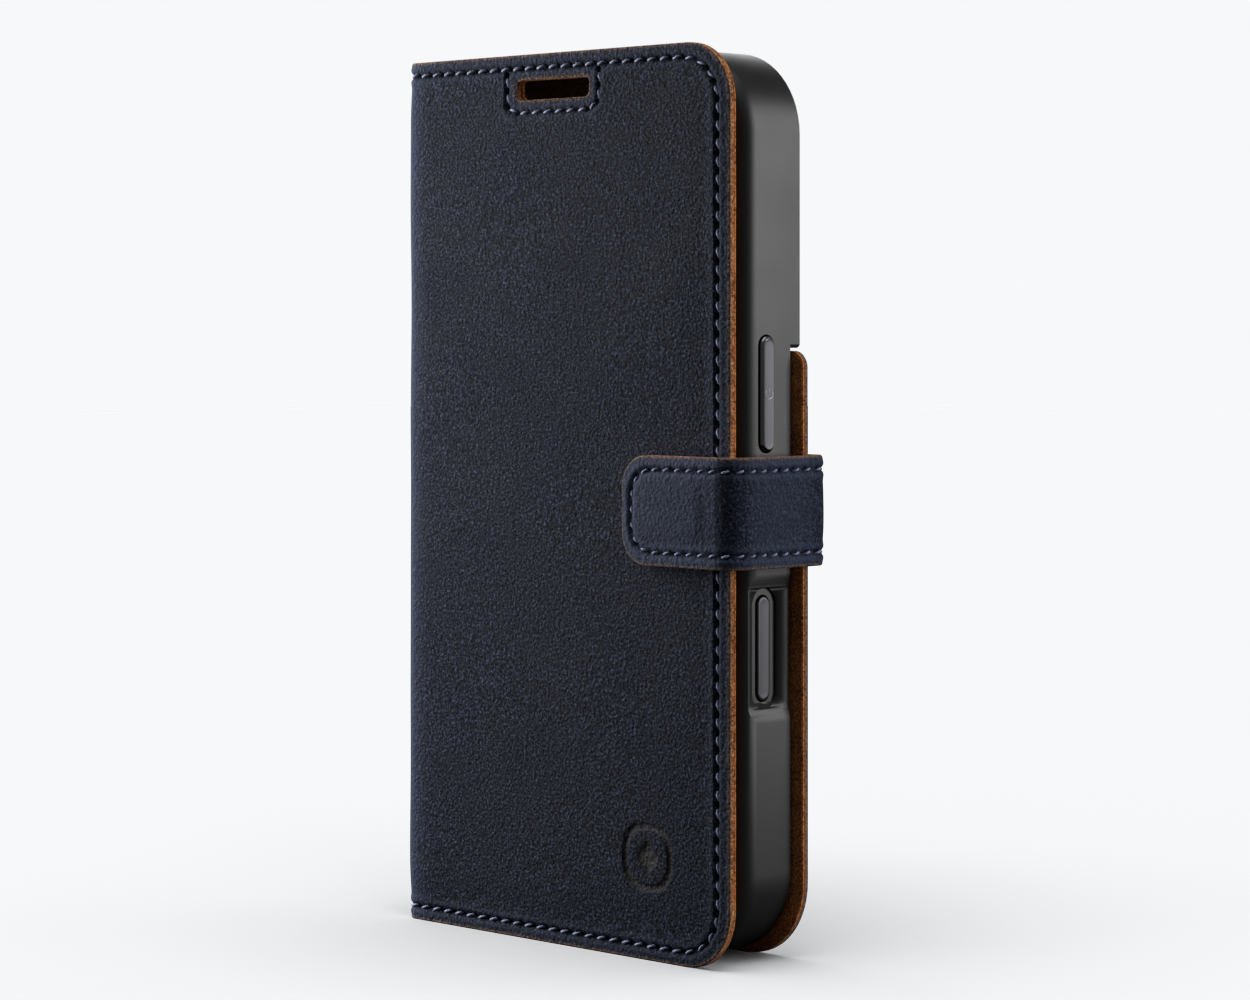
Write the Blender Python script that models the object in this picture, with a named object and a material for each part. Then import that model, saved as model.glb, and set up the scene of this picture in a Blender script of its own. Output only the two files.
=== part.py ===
"""Folio wallet case for a phone: a leather cover that folds round a moulded phone shell."""
import math

import bmesh
import bpy
from mathutils import Matrix

MM = 0.001
GAP = 0.2 * MM          # air kept between pieces that are glued, sewn or laid on each other

# Cover, seen closed and standing on its lower edge. X runs across from the spine to the
# strap, Y is the depth behind the front cover's face, Z is up.
COVER_HEIGHT = 155.0 * MM
COVER_RIGHT = 39.9 * MM
BACK_RIGHT = 40.0 * MM
SPINE_OUTSIDE = -40.9 * MM
COVER_CORNER = 10.0 * MM
LEATHER = 0.8 * MM
BOARD = 0.4 * MM
LINING = 0.5 * MM
POCKET_SHEET = 0.4 * MM
COVER_THICK = LEATHER + GAP + BOARD + GAP + LINING
SPINE_THICK = LEATHER + GAP + LINING
BOARD_INSET = 5.0 * MM
BOARD_CORNER = 5.0 * MM
LINING_INSET = 0.4 * MM

# Phone shell, an open tray with its mouth towards the front cover
SHELL_WIDTH = 76.4 * MM
SHELL_HEIGHT = 153.6 * MM
SHELL_FRONT = 5.1 * MM
SHELL_BACK = 16.7 * MM
SHELL_LOW = 0.7 * MM
SHELL_CORNER = 14.5 * MM
SHELL_EDGE = 3.3 * MM       # roundness of its front edge, the back edges are square
SHELL_WALL = 2.1 * MM
SHELL_LIP = 1.2 * MM
SHELL_FLOOR = 1.65 * MM
LIP_OVERHANG = 1.4 * MM
LINER_SHEET = 0.4 * MM
LINER_CLEAR = 0.3 * MM
PAD_SHEET = 0.2 * MM
PAD = (-33.0 * MM, 33.0 * MM, 8.0 * MM, 98.0 * MM)
PAD_CORNER = 5.0 * MM

# Back panel, behind the shell, with a step that leaves the camera plateau free
PANEL_FRONT = SHELL_BACK + GAP + PAD_SHEET + GAP
PANEL_BACK = PANEL_FRONT + COVER_THICK
NOTCH_LEFT = -28.5 * MM
NOTCH_LOW = 103.2 * MM
NOTCH_FILLET = 4.0 * MM
BACK_CORNER = 13.0 * MM
BACK_SHOULDER = 2.8 * MM
SHOULDER_LEAST = 1.5 * MM    # smallest turn that a seam takes round the shoulder
STRIP_CORNER = 2.0 * MM
BACK_BOARD_CORNERS = (0, 8.0 * MM, 4.0 * MM, 0)

# Camera plateau, which rises through the panel's step almost flush with its back
PLATEAU_CLEAR = 0.5 * MM
PLATEAU_CORNERS = (4.0 * MM, 0.9 * MM)      # by the spine, by the strap
PLATEAU_BACK = PANEL_BACK - 0.3 * MM
CAMERA_OPENING = (-20.0 * MM, 31.0 * MM, 113.0 * MM, 146.0 * MM)
CAMERA_OPENING_CORNER = 9.0 * MM
LINER_OPENING_GROWTH = 1.0 * MM

# Strap
STRAP_WIDTH = 19.2 * MM
STRAP_MID = 76.0 * MM
STRAP_LINING = 0.5 * MM
STRAP_THICK = LEATHER + GAP + STRAP_LINING
STRAP_INSIDE = 41.2 * MM
STRAP_TIP_LEFT = 16.7 * MM
STRAP_TIP_LEATHER = 1.3 * MM
STRAP_TIP_THICK = STRAP_TIP_LEATHER + GAP + STRAP_LINING
STRAP_TIP_BACK = -0.3 * MM
STRAP_TAIL_LEFT = 20.0 * MM
STRAP_CORNER = 5.5 * MM
STRAP_TAIL_CORNER = 2.0 * MM
STRAP_TAIL_SEAM_END = 4.0 * MM
STRAP_TIP_SEAM_END = 1.5 * MM
STRAP_TIP_SEAM_INSET = 2.2 * MM
STRAP_TIP_SEAM_CORNER = 4.3 * MM
FOLD_CLEAR = 0.3 * MM
STRAP_FOLD_RADIUS = STRAP_THICK / 2
COVER_FOLD_RADIUS = 0.75 * MM
FOLD_SHORT = 1.0 * MM       # the rolled leather stops this far inside each end of the cover

# Fold axes, each a vertical line at (x, y)
FRONT_FOLD = (SPINE_OUTSIDE + SPINE_THICK / 2, COVER_THICK / 2)
REAR_FOLD = (SPINE_OUTSIDE + SPINE_THICK / 2, PANEL_BACK - COVER_THICK / 2)
STRAP_FOLD = (STRAP_INSIDE + STRAP_THICK / 2, PANEL_BACK + GAP + STRAP_THICK / 2)
TIP_FOLD = (STRAP_INSIDE + STRAP_THICK / 2, STRAP_TIP_BACK - STRAP_TIP_THICK / 2)
PANEL_START = COVER_THICK / 2 + FOLD_CLEAR
STRAP_START = STRAP_THICK / 2 + FOLD_CLEAR
TIP_START = STRAP_TIP_THICK / 2 + FOLD_CLEAR

# Earpiece slot in the front cover
SLOT = (-11.6 * MM, 6.4 * MM, 147.0 * MM, 150.5 * MM)
SLOT_CORNER = 1.3 * MM
SLOT_BOARD_BELOW = 3.0 * MM
SLOT_SEAM_BELOW = 2.2 * MM
SLOT_SEAM_BESIDE = 2.4 * MM
SLOT_SEAM_CORNER = 1.5 * MM

# Seams
SEAM_INSET = 2.4 * MM
SEAM_INSET_RIGHT = 3.0 * MM
THREAD_RADIUS = 0.18 * MM
GROOVE_RADIUS = 0.55 * MM
THREAD_IN = 0.2 * MM
SEAM_START = 1.2 * MM

# Buttons. Each pair is the height of its middle and its length.
PILL_ROUNDNESS = 0.97   # share of a half circle at a key's ends, the rest is a short flat
BUTTON_WIDTH = 3.4 * MM
BUTTON_EDGE = 0.35 * MM
BUTTON_ROOT = 0.5 * MM
BUTTON_PROUD = 0.7 * MM
BUTTON_MID = 10.7 * MM
SIDE_BUTTON = (96.0 * MM, 19.4 * MM)
CAMERA_BUTTON = (53.2 * MM, 17.5 * MM)
CAMERA_BUTTON_WIDTH = 3.0 * MM
CAMERA_BUTTON_SUNK = 0.5 * MM
CAMERA_RECESS = (20.4 * MM, 6.0 * MM, 0.9 * MM)     # length, width, depth
CAMERA_SCOOP = (25.0 * MM, 12.0 * MM, 0.45 * MM)    # length, width, depth
SCOOP_RAMP = 2.6 * MM       # height over which each end of the scoop fades out
SCOOP_RAMP_STEPS = 6
LEFT_BUTTONS = {
    "action_button": (121.0 * MM, 8.0 * MM),
    "volume_up_button": (106.0 * MM, 11.5 * MM),
    "volume_down_button": (91.5 * MM, 11.5 * MM),
}
LEFT_BUTTON_FACE = -SHELL_WIDTH / 2 - 0.6 * MM
BUTTON_CLEAR = 0.3 * MM
BUTTON_SLOT_DEPTH = 3.0 * MM

# Openings in the shell's lower edge: place across, length, width
PORTS = {
    "charging_port": (0, 11.0 * MM, 4.9 * MM),
    "speaker_slot": (19.0 * MM, 14.0 * MM, 1.8 * MM),
    "microphone_slot": (-19.0 * MM, 14.0 * MM, 1.8 * MM),
}

# Pockets inside the front cover: one for notes, three for cards, each open to the spine
NOTE_POCKET_IN = 2.5 * MM
NOTE_POCKET_LOW = 6.0 * MM
NOTE_POCKET_HIGH = 141.0 * MM
NOTE_POCKET_CORNER = 7.0 * MM
CARD_POCKET_OPENINGS = (-24.0 * MM, -15.0 * MM, -6.0 * MM)
CARD_POCKET_LOW = 8.0 * MM
CARD_POCKET_HIGH = 127.0 * MM
CARD_POCKET_CORNER = 6.0 * MM
THUMB_SCOOP = (67.0 * MM, 8.0 * MM)     # height of its middle, radius
POCKET_RIGHT = 35.5 * MM

# Magnet in the strap's tip, and the plate it holds to under the cover's leather
MAGNET = (20.0 * MM, 34.0 * MM, 69.5 * MM, 82.5 * MM)
MAGNET_SHEET = 0.4 * MM
MAGNET_CORNER = 1.0 * MM
MAGNET_BED = 0.6 * MM

ARC_STEPS = 8
SHELL_ARC_STEPS = 14
OVERCUT = 1.0 * MM      # how far a cutter runs past the face it opens
CORNER_PAST = 0.05 * MM # how far a rounding cutter's arc starts outside the wall it rounds
CENTRE_X = (SPINE_OUTSIDE + STRAP_INSIDE + STRAP_THICK) / 2
CENTRE_Y = (STRAP_TIP_BACK - STRAP_TIP_THICK + STRAP_FOLD[1] + STRAP_THICK / 2) / 2

NAVY = (0.022, 0.026, 0.042)
TAN = (0.42, 0.155, 0.045)
THREAD = (0.28, 0.31, 0.47)


def clear_scene():
    for obj in list(bpy.data.objects):
        bpy.data.objects.remove(obj, do_unlink=True)


def new_collection(name):
    collection = bpy.data.collections.new(name)
    bpy.context.scene.collection.children.link(collection)
    return collection


clear_scene()
PARTS = new_collection("phone_wallet_case")
CUTTERS = new_collection("cutters")


def make_material(name, colour, roughness, metallic=0.0):
    material = bpy.data.materials.new(name)
    material.use_nodes = True
    shader = material.node_tree.nodes["Principled BSDF"]
    shader.inputs["Base Color"].default_value = (*colour, 1.0)
    shader.inputs["Roughness"].default_value = roughness
    shader.inputs["Metallic"].default_value = metallic
    return material


def make_empty(name, location, parent=None):
    empty = bpy.data.objects.new(name, None)
    empty.empty_display_size = 0.01
    empty.location = location
    empty.parent = parent
    PARTS.objects.link(empty)
    return empty


ROOT = make_empty("wallet_frame", (-CENTRE_X, -CENTRE_Y, 0))


def body(name, axis_xy):
    """Empty that carries one moving body, standing on its fold's axis."""
    return make_empty(name, (axis_xy[0], axis_xy[1], 0), ROOT)


def attach(obj, carrier, material):
    """Hang a piece on its body without moving it, and give it its material."""
    obj.parent = carrier
    if carrier is not ROOT:
        obj.matrix_parent_inverse = Matrix.Translation(carrier.location).inverted()
    obj.data.materials.clear()
    obj.data.materials.append(material)
    return obj


def arc(cx, cz, radius, start, end, steps=ARC_STEPS):
    """Points on an arc, angles in degrees, both ends included."""
    turn = [math.radians(start + (end - start) * i / steps) for i in range(steps + 1)]
    return [(cx + radius * math.cos(a), cz + radius * math.sin(a)) for a in turn]


def rounded_rect(x0, x1, z0, z1, radii, steps=ARC_STEPS):
    """Outline with its own radius at lower left, lower right, upper right, upper left."""
    if not isinstance(radii, tuple):
        radii = (radii,) * 4
    corners = ((x0, z0, 1, 1, 180), (x1, z0, -1, 1, 270), (x1, z1, -1, -1, 0), (x0, z1, 1, -1, 90))
    points = []
    for (x, z, sx, sz, start), radius in zip(corners, radii):
        if radius > 0:
            points += arc(x + sx * radius, z + sz * radius, radius, start, start + 90, steps)
        else:
            points.append((x, z))
    return points


def curve_mesh(name, curve, collection, location=(0, 0, 0), rotation=(0, 0, 0)):
    """Turn a curve into a welded mesh object and drop the curve."""
    source = bpy.data.objects.new(name + "_curve", curve)
    collection.objects.link(source)
    mesh = bpy.data.meshes.new_from_object(source.evaluated_get(bpy.context.evaluated_depsgraph_get()))
    bpy.data.objects.remove(source, do_unlink=True)
    shape = bmesh.new()
    shape.from_mesh(mesh)
    bmesh.ops.remove_doubles(shape, verts=shape.verts, dist=1e-6)
    bmesh.ops.recalc_face_normals(shape, faces=shape.faces)
    shape.to_mesh(mesh)
    shape.free()
    mesh.name = name
    obj = bpy.data.objects.new(name, mesh)
    obj.location = location
    obj.rotation_euler = rotation
    collection.objects.link(obj)
    return obj


TURN = {
    "X": (math.pi / 2, 0, math.pi / 2),     # outline (y, z), thickness along X
    "Y": (math.pi / 2, 0, 0),               # outline (x, z), thickness along Y
    "Z": (0, 0, 0),                         # outline (x, y), thickness along Z
}


def slab(name, outlines, low, high, axis="Y", edge=0.0, collection=None, centre=(0, 0), rounds=2):
    """Flat piece: the first outline is its edge, any others are holes through it."""
    curve = bpy.data.curves.new(name, "CURVE")
    curve.dimensions = "2D"
    curve.fill_mode = "BOTH"
    curve.extrude = (high - low) / 2 - edge
    curve.bevel_depth = edge
    curve.bevel_resolution = rounds
    curve.offset = -edge
    for outline in outlines:
        spline = curve.splines.new("POLY")
        spline.points.add(len(outline) - 1)
        for point, (u, v) in zip(spline.points, outline):
            point.co = (u, v, 0, 1)
        spline.use_cyclic_u = True
    middle = (low + high) / 2
    place = {
        "X": (middle, centre[0], centre[1]),
        "Y": (centre[0], middle, centre[1]),
        "Z": (centre[0], centre[1], middle),
    }[axis]
    return curve_mesh(name, curve, collection or PARTS, place, TURN[axis])


def tube(name, points, radius, collection=None):
    """Round rod through the given points."""
    curve = bpy.data.curves.new(name, "CURVE")
    curve.dimensions = "3D"
    curve.bevel_depth = radius
    curve.bevel_resolution = 1
    curve.use_fill_caps = True
    spline = curve.splines.new("POLY")
    spline.points.add(len(points) - 1)
    for point, place in zip(spline.points, points):
        point.co = (*place, 1)
    return curve_mesh(name, curve, collection or PARTS)


def cut(target, cutter):
    """Boolean on the target; the cutter stays in the file as a wire shape."""
    cutter.parent = ROOT
    cutter.hide_render = True
    cutter.display_type = "WIRE"
    modifier = target.modifiers.new(cutter.name, "BOOLEAN")
    modifier.operation = "DIFFERENCE"
    modifier.solver = "EXACT"
    modifier.object = cutter


def cut_slab(target, name, outline, low, high, axis="Y", centre=(0, 0)):
    cut(target, slab(name, [outline], low, high, axis, 0.0, CUTTERS, centre))


def pill(length, width, steps=9):
    """Upright outline with round ends, centred on zero."""
    return rounded_rect(-width / 2, width / 2, -length / 2, length / 2, width / 2 * PILL_ROUNDNESS, steps)


def fold_rod(name, axis_xy, radius, low, high, carrier, material):
    """Leather rolled tight in a fold, standing on the fold's axis."""
    mesh = bpy.data.meshes.new(name)
    shape = bmesh.new()
    bmesh.ops.create_cone(shape, cap_ends=True, segments=16, radius1=radius, radius2=radius,
                          depth=high - low)
    shape.to_mesh(mesh)
    shape.free()
    rod = bpy.data.objects.new(name, mesh)
    rod.location = (axis_xy[0], axis_xy[1], (low + high) / 2)
    PARTS.objects.link(rod)
    return attach(rod, carrier, material)


def sew(leather, name, path, face_y, inward, carrier, material):
    """Groove pressed in a leather face along the path, with the thread lying in it."""
    groove = [(x, face_y, z) for x, z in path]
    cut(leather, tube(name + "_groove", groove, GROOVE_RADIUS, CUTTERS))
    lay = [(x, face_y + inward * THREAD_IN, z) for x, z in path]
    return attach(tube(name, lay, THREAD_RADIUS), carrier, material)


def front_seam_path():
    """Lower edge, right edge, then the upper edge with a dip round the earpiece slot."""
    left = FRONT_FOLD[0] + PANEL_START + SEAM_START
    low, high = SEAM_INSET, COVER_HEIGHT - SEAM_INSET
    right = COVER_RIGHT - SEAM_INSET_RIGHT
    radius = COVER_CORNER - SEAM_INSET
    dip_low = SLOT[2] - SLOT_SEAM_BELOW
    dip_right, dip_left = SLOT[1] + SLOT_SEAM_BESIDE, SLOT[0] - SLOT_SEAM_BESIDE
    turn = SLOT_SEAM_CORNER
    path = [(left, low)]
    path += arc(right - radius, low + radius, radius, -90, 0, 6)
    path += arc(right - radius, high - radius, radius, 0, 90, 6)
    path += arc(dip_right + turn, high - turn, turn, 90, 180, 3)
    path += arc(dip_right - turn, dip_low + turn, turn, 0, -90, 3)
    path += arc(dip_left + turn, dip_low + turn, turn, 270, 180, 3)
    path += arc(dip_left - turn, high - turn, turn, 0, 90, 3)
    path += [(left, high)]
    return path


def build_front_cover(carrier, looks):
    left = FRONT_FOLD[0] + PANEL_START
    edge = rounded_rect(left, COVER_RIGHT, 0, COVER_HEIGHT, (0, COVER_CORNER, COVER_CORNER, 0))
    slot = rounded_rect(*SLOT, SLOT_CORNER, 3)
    leather = attach(slab("front_leather", [edge, slot], 0, LEATHER), carrier, looks["leather"])
    sew(leather, "front_thread", front_seam_path(), 0, 1, carrier, looks["thread"])

    y = LEATHER + GAP
    board_edge = rounded_rect(left + BOARD_INSET, COVER_RIGHT - BOARD_INSET, BOARD_INSET,
                              SLOT[2] - SLOT_BOARD_BELOW, (0, BOARD_CORNER, BOARD_CORNER, 0))
    x0, x1, z0, z1 = MAGNET
    window = rounded_rect(x0 - GAP, x1 + GAP, z0 - GAP, z1 + GAP, 0)
    attach(slab("front_board", [board_edge, window], y, y + BOARD), carrier, looks["board"])
    keeper = rounded_rect(x0, x1, z0, z1, MAGNET_CORNER, 2)
    attach(slab("front_keeper", [keeper], y, y + BOARD), carrier, looks["steel"])

    y += BOARD + GAP
    inner = rounded_rect(left, COVER_RIGHT - LINING_INSET, LINING_INSET, COVER_HEIGHT - LINING_INSET,
                         (0, COVER_CORNER, COVER_CORNER, 0))
    attach(slab("front_lining", [inner, slot], y, y + LINING), carrier, looks["suede"])

    y += LINING + GAP
    note_left = left + NOTE_POCKET_IN
    note = rounded_rect(note_left, POCKET_RIGHT, NOTE_POCKET_LOW, NOTE_POCKET_HIGH,
                        (0, NOTE_POCKET_CORNER, NOTE_POCKET_CORNER, 0))
    attach(slab("note_pocket", [note], y, y + POCKET_SHEET), carrier, looks["suede"])
    for number, opening in enumerate(CARD_POCKET_OPENINGS, 1):
        y += POCKET_SHEET + GAP
        sheet = rounded_rect(opening, POCKET_RIGHT, CARD_POCKET_LOW, CARD_POCKET_HIGH,
                             (0, CARD_POCKET_CORNER, CARD_POCKET_CORNER, 0))
        # a thumb scoop halfway up each card pocket's open edge
        scoop = arc(opening, *THUMB_SCOOP, 90, -90)
        attach(slab("card_pocket_%d" % number, [sheet + scoop], y, y + POCKET_SHEET), carrier,
               looks["suede"])


def build_spine(carrier, looks):
    low_y, high_y = FRONT_FOLD[1] + PANEL_START, REAR_FOLD[1] - PANEL_START
    x = SPINE_OUTSIDE
    sheet = rounded_rect(low_y, high_y, 0, COVER_HEIGHT, 0)
    attach(slab("spine_leather", [sheet], x, x + LEATHER, "X"), carrier, looks["leather"])
    inner = rounded_rect(low_y, high_y, LINING_INSET, COVER_HEIGHT - LINING_INSET, 0)
    x += LEATHER + GAP
    attach(slab("spine_lining", [inner], x, x + LINING, "X"), carrier, looks["suede"])
    fold_rod("front_fold", FRONT_FOLD, COVER_FOLD_RADIUS, FOLD_SHORT, COVER_HEIGHT - FOLD_SHORT, carrier,
             looks["leather"])


def panel_outline(inset, left):
    """L-shaped back panel: full height by the spine, cut down under the camera plateau."""
    right, top, low = BACK_RIGHT - inset, COVER_HEIGHT - inset, inset
    notch_x, notch_z = NOTCH_LEFT - inset, NOTCH_LOW - inset
    corner, inner, tight = BACK_CORNER - inset, NOTCH_FILLET, STRIP_CORNER
    shoulder = max(BACK_SHOULDER - inset, SHOULDER_LEAST)
    points = [(left, low)]
    points += arc(right - corner, low + corner, corner, -90, 0)
    points += arc(right - shoulder, notch_z - shoulder, shoulder, 0, 90, 5)
    points += arc(notch_x + inner, notch_z + inner, inner, 270, 180, 4)
    points += arc(notch_x - tight, top - tight, tight, 0, 90, 3)
    points += [(left, top)]
    return points


def build_back_panel(carrier, looks):
    left = REAR_FOLD[0] + PANEL_START
    y = PANEL_FRONT
    attach(slab("back_lining", [panel_outline(LINING_INSET, left)], y, y + LINING), carrier,
           looks["suede"])
    y += LINING + GAP
    board = rounded_rect(left + BOARD_INSET, BACK_RIGHT - BOARD_INSET, BOARD_INSET,
                         NOTCH_LOW - BOARD_INSET, BACK_BOARD_CORNERS)
    attach(slab("back_board", [board], y, y + BOARD), carrier, looks["board"])
    y += BOARD + GAP
    leather = attach(slab("back_leather", [panel_outline(0, left)], y, y + LEATHER), carrier,
                     looks["leather"])
    seam = panel_outline(SEAM_INSET, left + SEAM_START)
    sew(leather, "back_thread", seam, PANEL_BACK, -1, carrier, looks["thread"])
    fold_rod("rear_fold", REAR_FOLD, COVER_FOLD_RADIUS, FOLD_SHORT, COVER_HEIGHT - FOLD_SHORT, carrier,
             looks["leather"])


def shell_rect(inset, corner):
    half = SHELL_WIDTH / 2 - inset
    return rounded_rect(-half, half, SHELL_LOW + inset, SHELL_LOW + SHELL_HEIGHT - inset, corner,
                        SHELL_ARC_STEPS)


def plateau_surround():
    """Everything of the shell's back that lies beside and below the camera plateau."""
    half, low, top = SHELL_WIDTH / 2, SHELL_LOW, SHELL_LOW + SHELL_HEIGHT
    left, step = NOTCH_LEFT + PLATEAU_CLEAR, NOTCH_LOW + PLATEAU_CLEAR
    inner, outer = PLATEAU_CORNERS
    past, tight = half + CORNER_PAST, STRIP_CORNER
    points = [(-half - OVERCUT, low - OVERCUT), (half + OVERCUT, low - OVERCUT),
              (half + OVERCUT, step + outer)]
    points += arc(past - outer, step + outer, outer, 0, -90, 5)
    points += arc(left + inner, step + inner, inner, 270, 180, 5)
    points += arc(left + tight, top + CORNER_PAST - tight, tight, 180, 90, 4)
    points += [(left + tight, top + OVERCUT), (-half - OVERCUT, top + OVERCUT)]
    return points


def scoop_outline(wall):
    """Side view of the finger scoop: a flat hollow that fades out at both ends along a cosine."""
    length, _, depth = CAMERA_SCOOP
    middle = CAMERA_BUTTON[0]
    steps = range(SCOOP_RAMP_STEPS + 1)
    fade = [(1 + math.cos(math.pi * i / SCOOP_RAMP_STEPS)) / 2 for i in steps]
    rise = [SCOOP_RAMP * i / SCOOP_RAMP_STEPS for i in steps]
    upper = [(wall - depth * f, middle + length / 2 - SCOOP_RAMP + z) for f, z in zip(fade, rise)]
    lower = [(x, 2 * middle - z) for x, z in reversed(upper)]
    far = wall + OVERCUT
    return lower + upper + [(far, upper[-1][1]), (far, lower[0][1])]


def build_shell(carrier, looks):
    # the block starts out too deep: one flat cut makes the plateau's back, and a second,
    # L-shaped one goes down to the shell's back all round the plateau
    deep = PLATEAU_BACK + SHELL_EDGE
    shell = slab("phone_shell", [shell_rect(0, SHELL_CORNER)], SHELL_FRONT, deep, edge=SHELL_EDGE,
                 rounds=4)
    attach(shell, carrier, looks["shell"])
    cut_slab(shell, "plateau_back", shell_rect(-OVERCUT, SHELL_CORNER), PLATEAU_BACK, deep + OVERCUT)
    cut_slab(shell, "shell_back", plateau_surround(), SHELL_BACK, deep)
    floor_y = SHELL_BACK - SHELL_FLOOR
    half = SHELL_WIDTH / 2
    cut_slab(shell, "phone_space", shell_rect(SHELL_WALL, SHELL_CORNER - SHELL_WALL),
             SHELL_FRONT + SHELL_LIP, floor_y)
    reach = SHELL_WALL + LIP_OVERHANG
    cut_slab(shell, "screen_opening", shell_rect(reach, SHELL_CORNER - reach),
             SHELL_FRONT - OVERCUT, SHELL_FRONT + SHELL_LIP + OVERCUT)
    opening = rounded_rect(*CAMERA_OPENING, CAMERA_OPENING_CORNER, 6)
    cut_slab(shell, "camera_opening", opening, floor_y - OVERCUT, PANEL_BACK + OVERCUT)

    # right side: side button slot, then the sunk camera button with its scoop
    height, length = SIDE_BUTTON
    clear = 2 * BUTTON_CLEAR
    cut_slab(shell, "side_button_slot", pill(length + clear, BUTTON_WIDTH + clear),
             half - BUTTON_SLOT_DEPTH, half + OVERCUT, "X", centre=(BUTTON_MID, height))
    middle = (BUTTON_MID, CAMERA_BUTTON[0])
    width = CAMERA_SCOOP[1]
    cut_slab(shell, "camera_scoop", scoop_outline(half), BUTTON_MID - width / 2, BUTTON_MID + width / 2)
    length, width, depth = CAMERA_RECESS
    cut_slab(shell, "camera_button_recess", pill(length, width), half - depth, half + OVERCUT, "X",
             centre=middle)
    cut_slab(shell, "camera_button_slot", pill(CAMERA_BUTTON[1] + clear, CAMERA_BUTTON_WIDTH + clear),
             half - BUTTON_SLOT_DEPTH, half, "X", centre=middle)
    for name, (height, length) in LEFT_BUTTONS.items():
        cut_slab(shell, name + "_slot", pill(length + clear, BUTTON_WIDTH + clear),
                 -half - OVERCUT, -half + BUTTON_SLOT_DEPTH, "X", centre=(BUTTON_MID, height))
    for name, (x, length, width) in PORTS.items():
        outline = rounded_rect(-length / 2, length / 2, -width / 2, width / 2,
                               width / 2 * PILL_ROUNDNESS, 5)
        cut_slab(shell, name, outline, SHELL_LOW - OVERCUT, SHELL_LOW + SHELL_WALL + OVERCUT, "Z",
                 centre=(x, BUTTON_MID))

    inset = SHELL_WALL + LINER_CLEAR
    liner = shell_rect(inset, SHELL_CORNER - inset)
    x0, x1, z0, z1 = CAMERA_OPENING
    grow = LINER_OPENING_GROWTH
    grown = rounded_rect(x0 - grow, x1 + grow, z0 - grow, z1 + grow, CAMERA_OPENING_CORNER + grow, 6)
    attach(slab("shell_liner", [liner, grown], floor_y - GAP - LINER_SHEET, floor_y - GAP), carrier,
           looks["microfibre"])
    pad = rounded_rect(*PAD, PAD_CORNER, 3)
    attach(slab("adhesive_pad", [pad], SHELL_BACK + GAP, SHELL_BACK + GAP + PAD_SHEET), carrier,
           looks["adhesive"])


def build_button(name, side, height, length, width, face_x, looks):
    """Pill key with a rounded rim that travels straight into the shell's wall."""
    inner = side * (SHELL_WIDTH / 2 - SHELL_WALL + BUTTON_ROOT)
    low, high = sorted((inner, face_x))
    key = slab(name, [pill(length, width)], low, high, "X", edge=BUTTON_EDGE,
               centre=(BUTTON_MID, height))
    attach(key, ROOT, looks["metal"])


def strap_rect(x0, x1, corners=(0, 0, 0, 0), inset=0.0):
    half = STRAP_WIDTH / 2 - inset
    return rounded_rect(x0, x1, STRAP_MID - half, STRAP_MID + half, corners, 6)


def build_strap_anchor(carrier, looks):
    """Strap tail sewn flat on the outside of the back panel, and the fold at its edge."""
    right = STRAP_FOLD[0] - STRAP_START
    y = PANEL_BACK + GAP
    outline = strap_rect(STRAP_TAIL_LEFT, right, (STRAP_TAIL_CORNER, 0, 0, STRAP_TAIL_CORNER))
    tail = attach(slab("strap_tail", [outline], y, y + STRAP_THICK), carrier, looks["leather"])
    left, half = STRAP_TAIL_LEFT + SEAM_INSET, STRAP_WIDTH / 2 - SEAM_INSET
    end = right - STRAP_TAIL_SEAM_END
    path = [(end, STRAP_MID - half), (left, STRAP_MID - half),
            (left, STRAP_MID + half), (end, STRAP_MID + half)]
    sew(tail, "strap_tail_thread", path, y + STRAP_THICK, -1, carrier, looks["thread"])
    fold_rod("strap_fold", STRAP_FOLD, STRAP_FOLD_RADIUS, STRAP_MID - STRAP_WIDTH / 2,
             STRAP_MID + STRAP_WIDTH / 2, carrier, looks["leather"])


def build_strap_side(carrier, looks):
    low_y, high_y = TIP_FOLD[1] + TIP_START, STRAP_FOLD[1] - STRAP_START
    x = STRAP_INSIDE
    sheet = strap_rect(low_y, high_y)
    attach(slab("strap_side_lining", [sheet], x, x + STRAP_LINING, "X"), carrier, looks["suede"])
    x += STRAP_LINING + GAP
    attach(slab("strap_side_leather", [sheet], x, x + LEATHER, "X"), carrier, looks["leather"])
    fold_rod("strap_tip_fold", TIP_FOLD, STRAP_FOLD_RADIUS, STRAP_MID - STRAP_WIDTH / 2,
             STRAP_MID + STRAP_WIDTH / 2, carrier, looks["leather"])


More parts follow.
